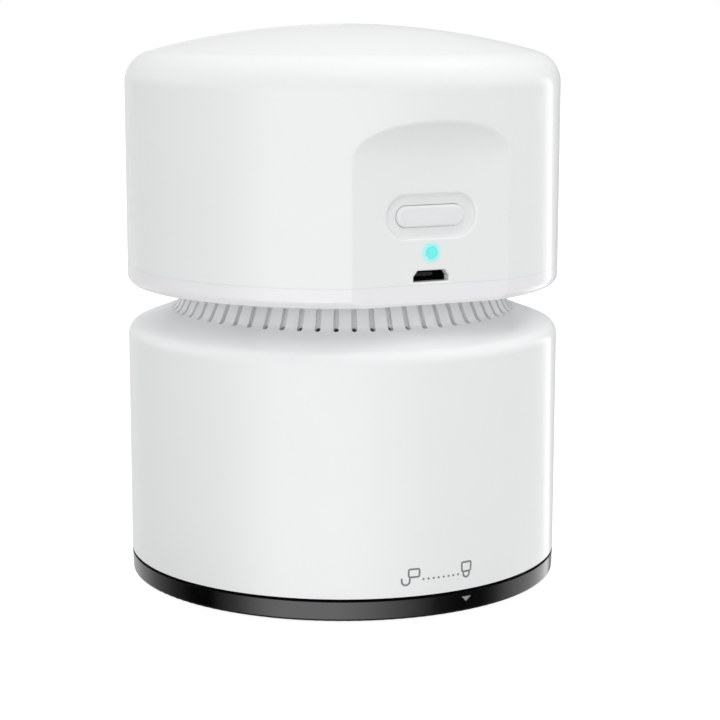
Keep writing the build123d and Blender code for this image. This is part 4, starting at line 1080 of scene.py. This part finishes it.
@dataclass
class Base:
    """Black base: ring, inlet plate, duct, pads and the brush round the inlet."""

    tuft_ring: float = 17.0 * MM
    tuft_arcs: int = 4
    tufts_per_arc: int = 7
    tuft_pitch: float = 9.0
    tuft_r: float = 0.72 * MM
    bristles_per_tuft: int = 60
    bristle_r: float = 0.055 * MM
    splay: float = 7.0
    tip_room: float = 0.05 * MM
    tip_taper: float = 0.6
    shortest: float = 0.94

    def tuft_spots(self) -> list[Vector]:
        """Middle of each tuft's foot, at the height where it enters the plate.

        Returns:
            The places, in metres.
        """
        _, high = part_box("brush_tufts")
        middle = (self.tufts_per_arc - 1) / 2
        spots = []
        for arc_at in range(self.tuft_arcs):
            for tuft in range(self.tufts_per_arc):
                turn = radians(360 / self.tuft_arcs * (arc_at + 0.5) + self.tuft_pitch * (tuft - middle))
                spots.append(Vector((self.tuft_ring * cos(turn), self.tuft_ring * sin(turn), high.z)))
        return spots

    def bristles(self, material: bpy.types.Material) -> bpy.types.Mesh:
        """Single bristles that splay a little from each tuft's foot, made by Geometry Nodes.

        Args:
            material: The finish of the bristles.

        Returns:
            Their mesh.
        """
        low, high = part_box("brush_tufts")
        inputs = {
            "Bristles per Tuft": self.bristles_per_tuft,
            "Tuft Radius": self.tuft_r,
            "Bristle Radius": self.bristle_r,
            "Length": high.z - low.z - self.tip_room,
            "Splay": radians(self.splay),
            "Sides": 6,
            "Seed": 7,
        }
        bench = GrowthBench("brush_bristles", inputs, material)
        copies = bench.add(
            "GeometryNodeDuplicateElements",
            {"domain": "POINT"},
            {"Geometry": bench.ask("Geometry"), "Amount": bench.ask("Bristles per Tuft")},
        )
        seed = bench.ask("Seed")
        turn = self._chance(bench, 0.0, 2 * pi, seed)
        share = self._chance(bench, 0.0, 1.0, seed + 1)
        reach = (share**0.5) * bench.ask("Tuft Radius")
        cosine, sine = turn.math("COSINE", turn), turn.math("SINE", turn)
        shift = bench.add("ShaderNodeCombineXYZ", inputs={0: reach * cosine, 1: reach * sine})
        spread = bench.add("GeometryNodeSetPosition", inputs={"Geometry": copies, "Offset": shift})
        stem = bench.add(
            "GeometryNodeMeshCone",
            {"fill_type": "NGON"},
            {
                "Vertices": bench.ask("Sides"),
                "Side Segments": 2,
                "Radius Top": bench.ask("Bristle Radius") * self.tip_taper,
                "Radius Bottom": bench.ask("Bristle Radius"),
                "Depth": bench.ask("Length"),
            },
        )
        lean = share * bench.ask("Splay")
        tilt = bench.add("ShaderNodeCombineXYZ", inputs={0: pi - lean * sine, 1: lean * cosine * -1})
        size = self._chance(bench, self.shortest, 1.0, seed + 2)
        grown = bench.add(
            "GeometryNodeInstanceOnPoints",
            inputs={"Points": spread, "Instance": stem, "Rotation": tilt, "Scale": size},
        )
        return bench.grow(grown, self.tuft_spots())

    @staticmethod
    def _chance(bench: GrowthBench, low: float, high: float, seed: Wire) -> Wire:
        """A random number for each point, between two limits."""
        return bench.add(
            "FunctionNodeRandomValue", {"data_type": "FLOAT"}, {"Min": low, "Max": high, "Seed": seed}
        )

    def build(self) -> None:
        """Dresses the base and grows the brush."""
        gloss = {"roughness": 0.12, "haze": 0.03, "depth": 0.001 * MM}
        dress(["base_ring"], Plastic("ring_piano", (0.002, 0.002, 0.0022), **gloss))
        plate = Plastic("plate_black", (0.022, 0.022, 0.023), roughness=0.5, depth=0.012 * MM)
        dress(["inlet_plate"], plate)
        dress(["inlet_duct"], Plastic("duct_black", (0.02, 0.02, 0.021), roughness=0.42))
        dress(["glide_pads"], Plastic("pad_slick", (0.78, 0.78, 0.76), roughness=0.4))
        nylon = Plastic("bristle_nylon", (0.03, 0.03, 0.032), roughness=0.35).build()
        brush = place_piece("brush_bristles", self.bristles(nylon), Body.BASE)
        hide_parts("brush_tufts")


# ---- Studio ----


@dataclass(frozen=True)
class SoftLamp:
    """A soft lamp: its turn from the camera's side, its distance and height, and its power in watts."""

    name: str
    turn: float
    distance: float
    height: float
    power: float


@dataclass
class Studio:
    """Pale floor, white surround, soft lamps and the camera.

    near_floor and round_about are what reflections see low down and higher up: stops of an angle from
    the camera's side and a strength. strip is a narrow reflector, as the angles at which it rises,
    reaches its full strength, starts to fall and ends.
    """

    lamps: tuple[SoftLamp, ...] = (
        SoftLamp("key", 5, 0.575, 1.056, 1.0),
        SoftLamp("right", 100, 0.575, 1.056, 2.41),
        SoftLamp("front", -20, 1.11, 0.36, 1.0),
    )
    lamp_size: Point = (0.5, 0.4)
    lamp_aim: tuple[float, float, float] = (0.0, 0.0, 0.06)
    ambient: float = 0.827
    below: float = 0.3
    brightest: float = 4.0
    near_floor: tuple[Point, ...] = (
        (-180, 0.5), (-162, 0.45), (-150, 1.1), (-134, 0.9), (-117, 0.5), (-101, 0.18), (-90, 0.02),
        (-76, 0.0), (-60, 0.68), (-42, 2.6), (-33, 3.2), (-2, 3.25), (14, 2.45), (38, 1.0), (52, 0.17),
        (64, 0.03), (82, 0.04), (89, 0.25), (97, 0.7), (105, 1.1), (121, 1.35), (130, 1.6), (140, 2.1),
        (147, 2.1), (158, 0.7), (170, 0.4), (180, 0.5),
    )
    round_about: tuple[Point, ...] = (
        (-180, 1.0), (-165, 0.8), (-150, 0.75), (-138, 0.55), (-118, 0.25), (-100, 0.05), (-78, 0.05),
        (-66, 0.2), (-53, 0.7), (-36, 1.6), (0, 1.6), (23, 1.1), (40, 0.6), (52, 0.3), (66, 0.2),
        (90, 0.2), (108, 0.35), (135, 0.75), (150, 0.52), (165, 0.48), (180, 0.6),
    )
    strip: tuple[float, float, float, float] = (124.0, 137.0, 140.5, 142.5)
    strip_lean: float = 44.0
    strip_strength: float = 1.3
    near_band: Point = (-0.26, -0.33)
    deep_band: Point = (-0.35, -0.65)
    high_band: Point = (0.0, 0.2)
    overhead: float = 0.7
    floor_size: float = 8.0
    floor_tint: Colour = (0.75, 0.75, 0.75)
    seen_tint: Colour = (0.396, 0.396, 0.396)
    floor_lift: float = 0.872
    camera_turn: float = -24.1
    camera_distance: float = 0.3953
    camera_height: float = 0.1119
    camera_pitch: float = 10.10
    lens: float = 100.09
    shift_x: float = 0.0243

    def _seen(self, bench: Bench) -> Wire:
        """Tells rays of the camera, of reflections and of clear pieces from others.

        Args:
            bench: The tree that asks.

        Returns:
            1 for those rays and 0 for others.
        """
        path = bench.add("ShaderNodeLightPath", output="Is Camera Ray")
        both = path.math("MAXIMUM", path, path.other("Is Glossy Ray"))
        return both.math("MAXIMUM", both, path.other("Is Transmission Ray"))

    def mirrored(self, bench: Bench) -> Wire:
        """What reflections see round the object: reflectors and dark flags low down, white above.

        Args:
            bench: The world's tree.

        Returns:
            The strength that a reflection gets.
        """
        sight = bench.add("ShaderNodeTexCoord", output="Generated")
        parts = bench.add("ShaderNodeSeparateXYZ", inputs={0: sight})
        x, y, z = parts, parts.other("Y"), parts.other("Z")
        turn = radians(self.camera_turn)
        across = x * cos(turn) + y * sin(turn)
        ahead = x * sin(turn) - y * cos(turn)
        angle = across.math("ARCTAN2", across, ahead) * (180 / pi)
        lean = angle + z * self.strip_lean
        rise, full, still, end = self.strip
        strip = lean.step(rise, full) * lean.step(end, still) * self.strip_strength
        near = self._reflector(bench, angle, self.near_floor)
        far = self._reflector(bench, angle, self.round_about) + strip
        foot, deep, high = (z.step(*band) for band in (self.near_band, self.deep_band, self.high_band))
        low = (far * (1 - foot) + near * foot) * (1 - deep) + deep * self.below
        return low * (1 - high) + high * self.overhead

    def _reflector(self, bench: Bench, angle: Wire, stops: Sequence[Point]) -> Wire:
        """Strength of what a reflection sees at an angle.

        Args:
            bench: The world's tree.
            angle: Angle from the camera's side, in degrees.
            stops: Angles with their strengths, in order.

        Returns:
            The strength between those stops.
        """
        places = [(turn / 360 + 0.5, (strength / self.brightest,) * 3) for turn, strength in stops]
        ramp = bench.add("ShaderNodeValToRGB", {"stops": places}, {0: angle / 360 + 0.5})
        return ramp * self.brightest

    def surround(self) -> None:
        """White world, dimmer as a source of light, with reflectors that only reflections see."""
        world = bpy.data.worlds.new("surround")
        bpy.context.scene.world = world
        world.use_nodes = True
        world.node_tree.nodes.clear()
        bench = Bench(world.node_tree)
        glossy = bench.add("ShaderNodeLightPath", output="Is Glossy Ray")
        plain = self._seen(bench) * (1 - self.ambient) + self.ambient
        strength = plain * (1 - glossy) + self.mirrored(bench) * glossy
        white = {"Color": (1.0, 1.0, 1.0), "Strength": strength}
        sky = bench.add("ShaderNodeBackground", inputs=white)
        bench.add("ShaderNodeOutputWorld", inputs={"Surface": sky})

    def floor(self) -> None:
        """Pale floor, white to the camera apart from the object's shadow, and open from below."""
        bench = MaterialBench("floor_pale")
        grain = bench.noise(2 * MM, 2.0)
        tone = bench.mix(grain, blend_tint(self.floor_tint, 0.985), self.floor_tint)
        real = bench.add("ShaderNodeBsdfDiffuse", inputs={"Color": tone})
        faint = bench.add("ShaderNodeBsdfDiffuse", inputs={"Color": self.seen_tint})
        glow = {"Color": (1.0, 1.0, 1.0), "Strength": self.floor_lift}
        lift = bench.add("ShaderNodeEmission", inputs=glow)
        shown = bench.add("ShaderNodeAddShader", inputs={0: faint, 1: lift})
        top = bench.add("ShaderNodeMixShader", inputs={0: self._seen(bench), 1: real, 2: shown})
        clear = bench.add("ShaderNodeBsdfTransparent")
        below = bench.add("ShaderNodeNewGeometry", output="Backfacing")
        material = bench.close(bench.add("ShaderNodeMixShader", inputs={0: below, 1: top, 2: clear}))
        half = self.floor_size / 2
        corners = ((-half, -half), (half, -half), (half, half), (-half, half))
        form = bmesh.new()
        form.faces.new([form.verts.new((x, y, 0.0)) for x, y in corners])
        mesh = bpy.data.meshes.new("floor")
        form.to_mesh(mesh)
        form.free()
        mesh.materials.append(material)
        floor = bpy.data.objects.new("floor", mesh)
        bpy.context.scene.collection.objects.link(floor)
        floor.visible_glossy = False

    def hang(self, lamp: SoftLamp) -> None:
        """Hangs a soft lamp, which neither the camera nor a reflection shows.

        Args:
            lamp: The lamp's place and power.
        """
        data = bpy.data.lights.new(lamp.name, "AREA")
        data.shape = "RECTANGLE"
        data.size, data.size_y = self.lamp_size
        data.energy = lamp.power
        angle = radians(self.camera_turn + lamp.turn)
        place = Vector((lamp.distance * sin(angle), -lamp.distance * cos(angle), lamp.height))
        light = bpy.data.objects.new(lamp.name, data)
        light.location = place
        light.rotation_euler = (Vector(self.lamp_aim) - place).to_track_quat("-Z", "Y").to_euler()
        bpy.context.scene.collection.objects.link(light)
        light.visible_camera = False
        light.visible_glossy = False

    def camera(self) -> None:
        """Puts the camera where the object is seen from its front left."""
        data = bpy.data.cameras.new("camera")
        data.sensor_width = 36.0
        data.lens = self.lens
        data.shift_x = self.shift_x
        data.clip_start = 0.01
        camera = bpy.data.objects.new("camera", data)
        turn = radians(self.camera_turn)
        x, y = self.camera_distance * sin(turn), -self.camera_distance * cos(turn)
        camera.location = (x, y, self.camera_height)
        camera.rotation_euler = (radians(90 - self.camera_pitch), 0.0, turn)
        bpy.context.scene.collection.objects.link(camera)
        bpy.context.scene.camera = camera

    def build(self) -> None:
        """Sets up the studio."""
        self.camera()
        self.surround()
        self.floor()
        for lamp in self.lamps:
            self.hang(lamp)


def main() -> None:
    """Builds the object's looks, then the studio."""
    logging.basicConfig(level=logging.INFO, format="%(message)s")
    scene = bpy.context.scene
    scene.view_settings.view_transform = "Standard"
    for group in (Head(), Bin(), Screws(), FilterSet(), Motor(), Power(), Base(), LockMarks(), Studio()):
        group.build()


if __name__ == "__main__":
    main()
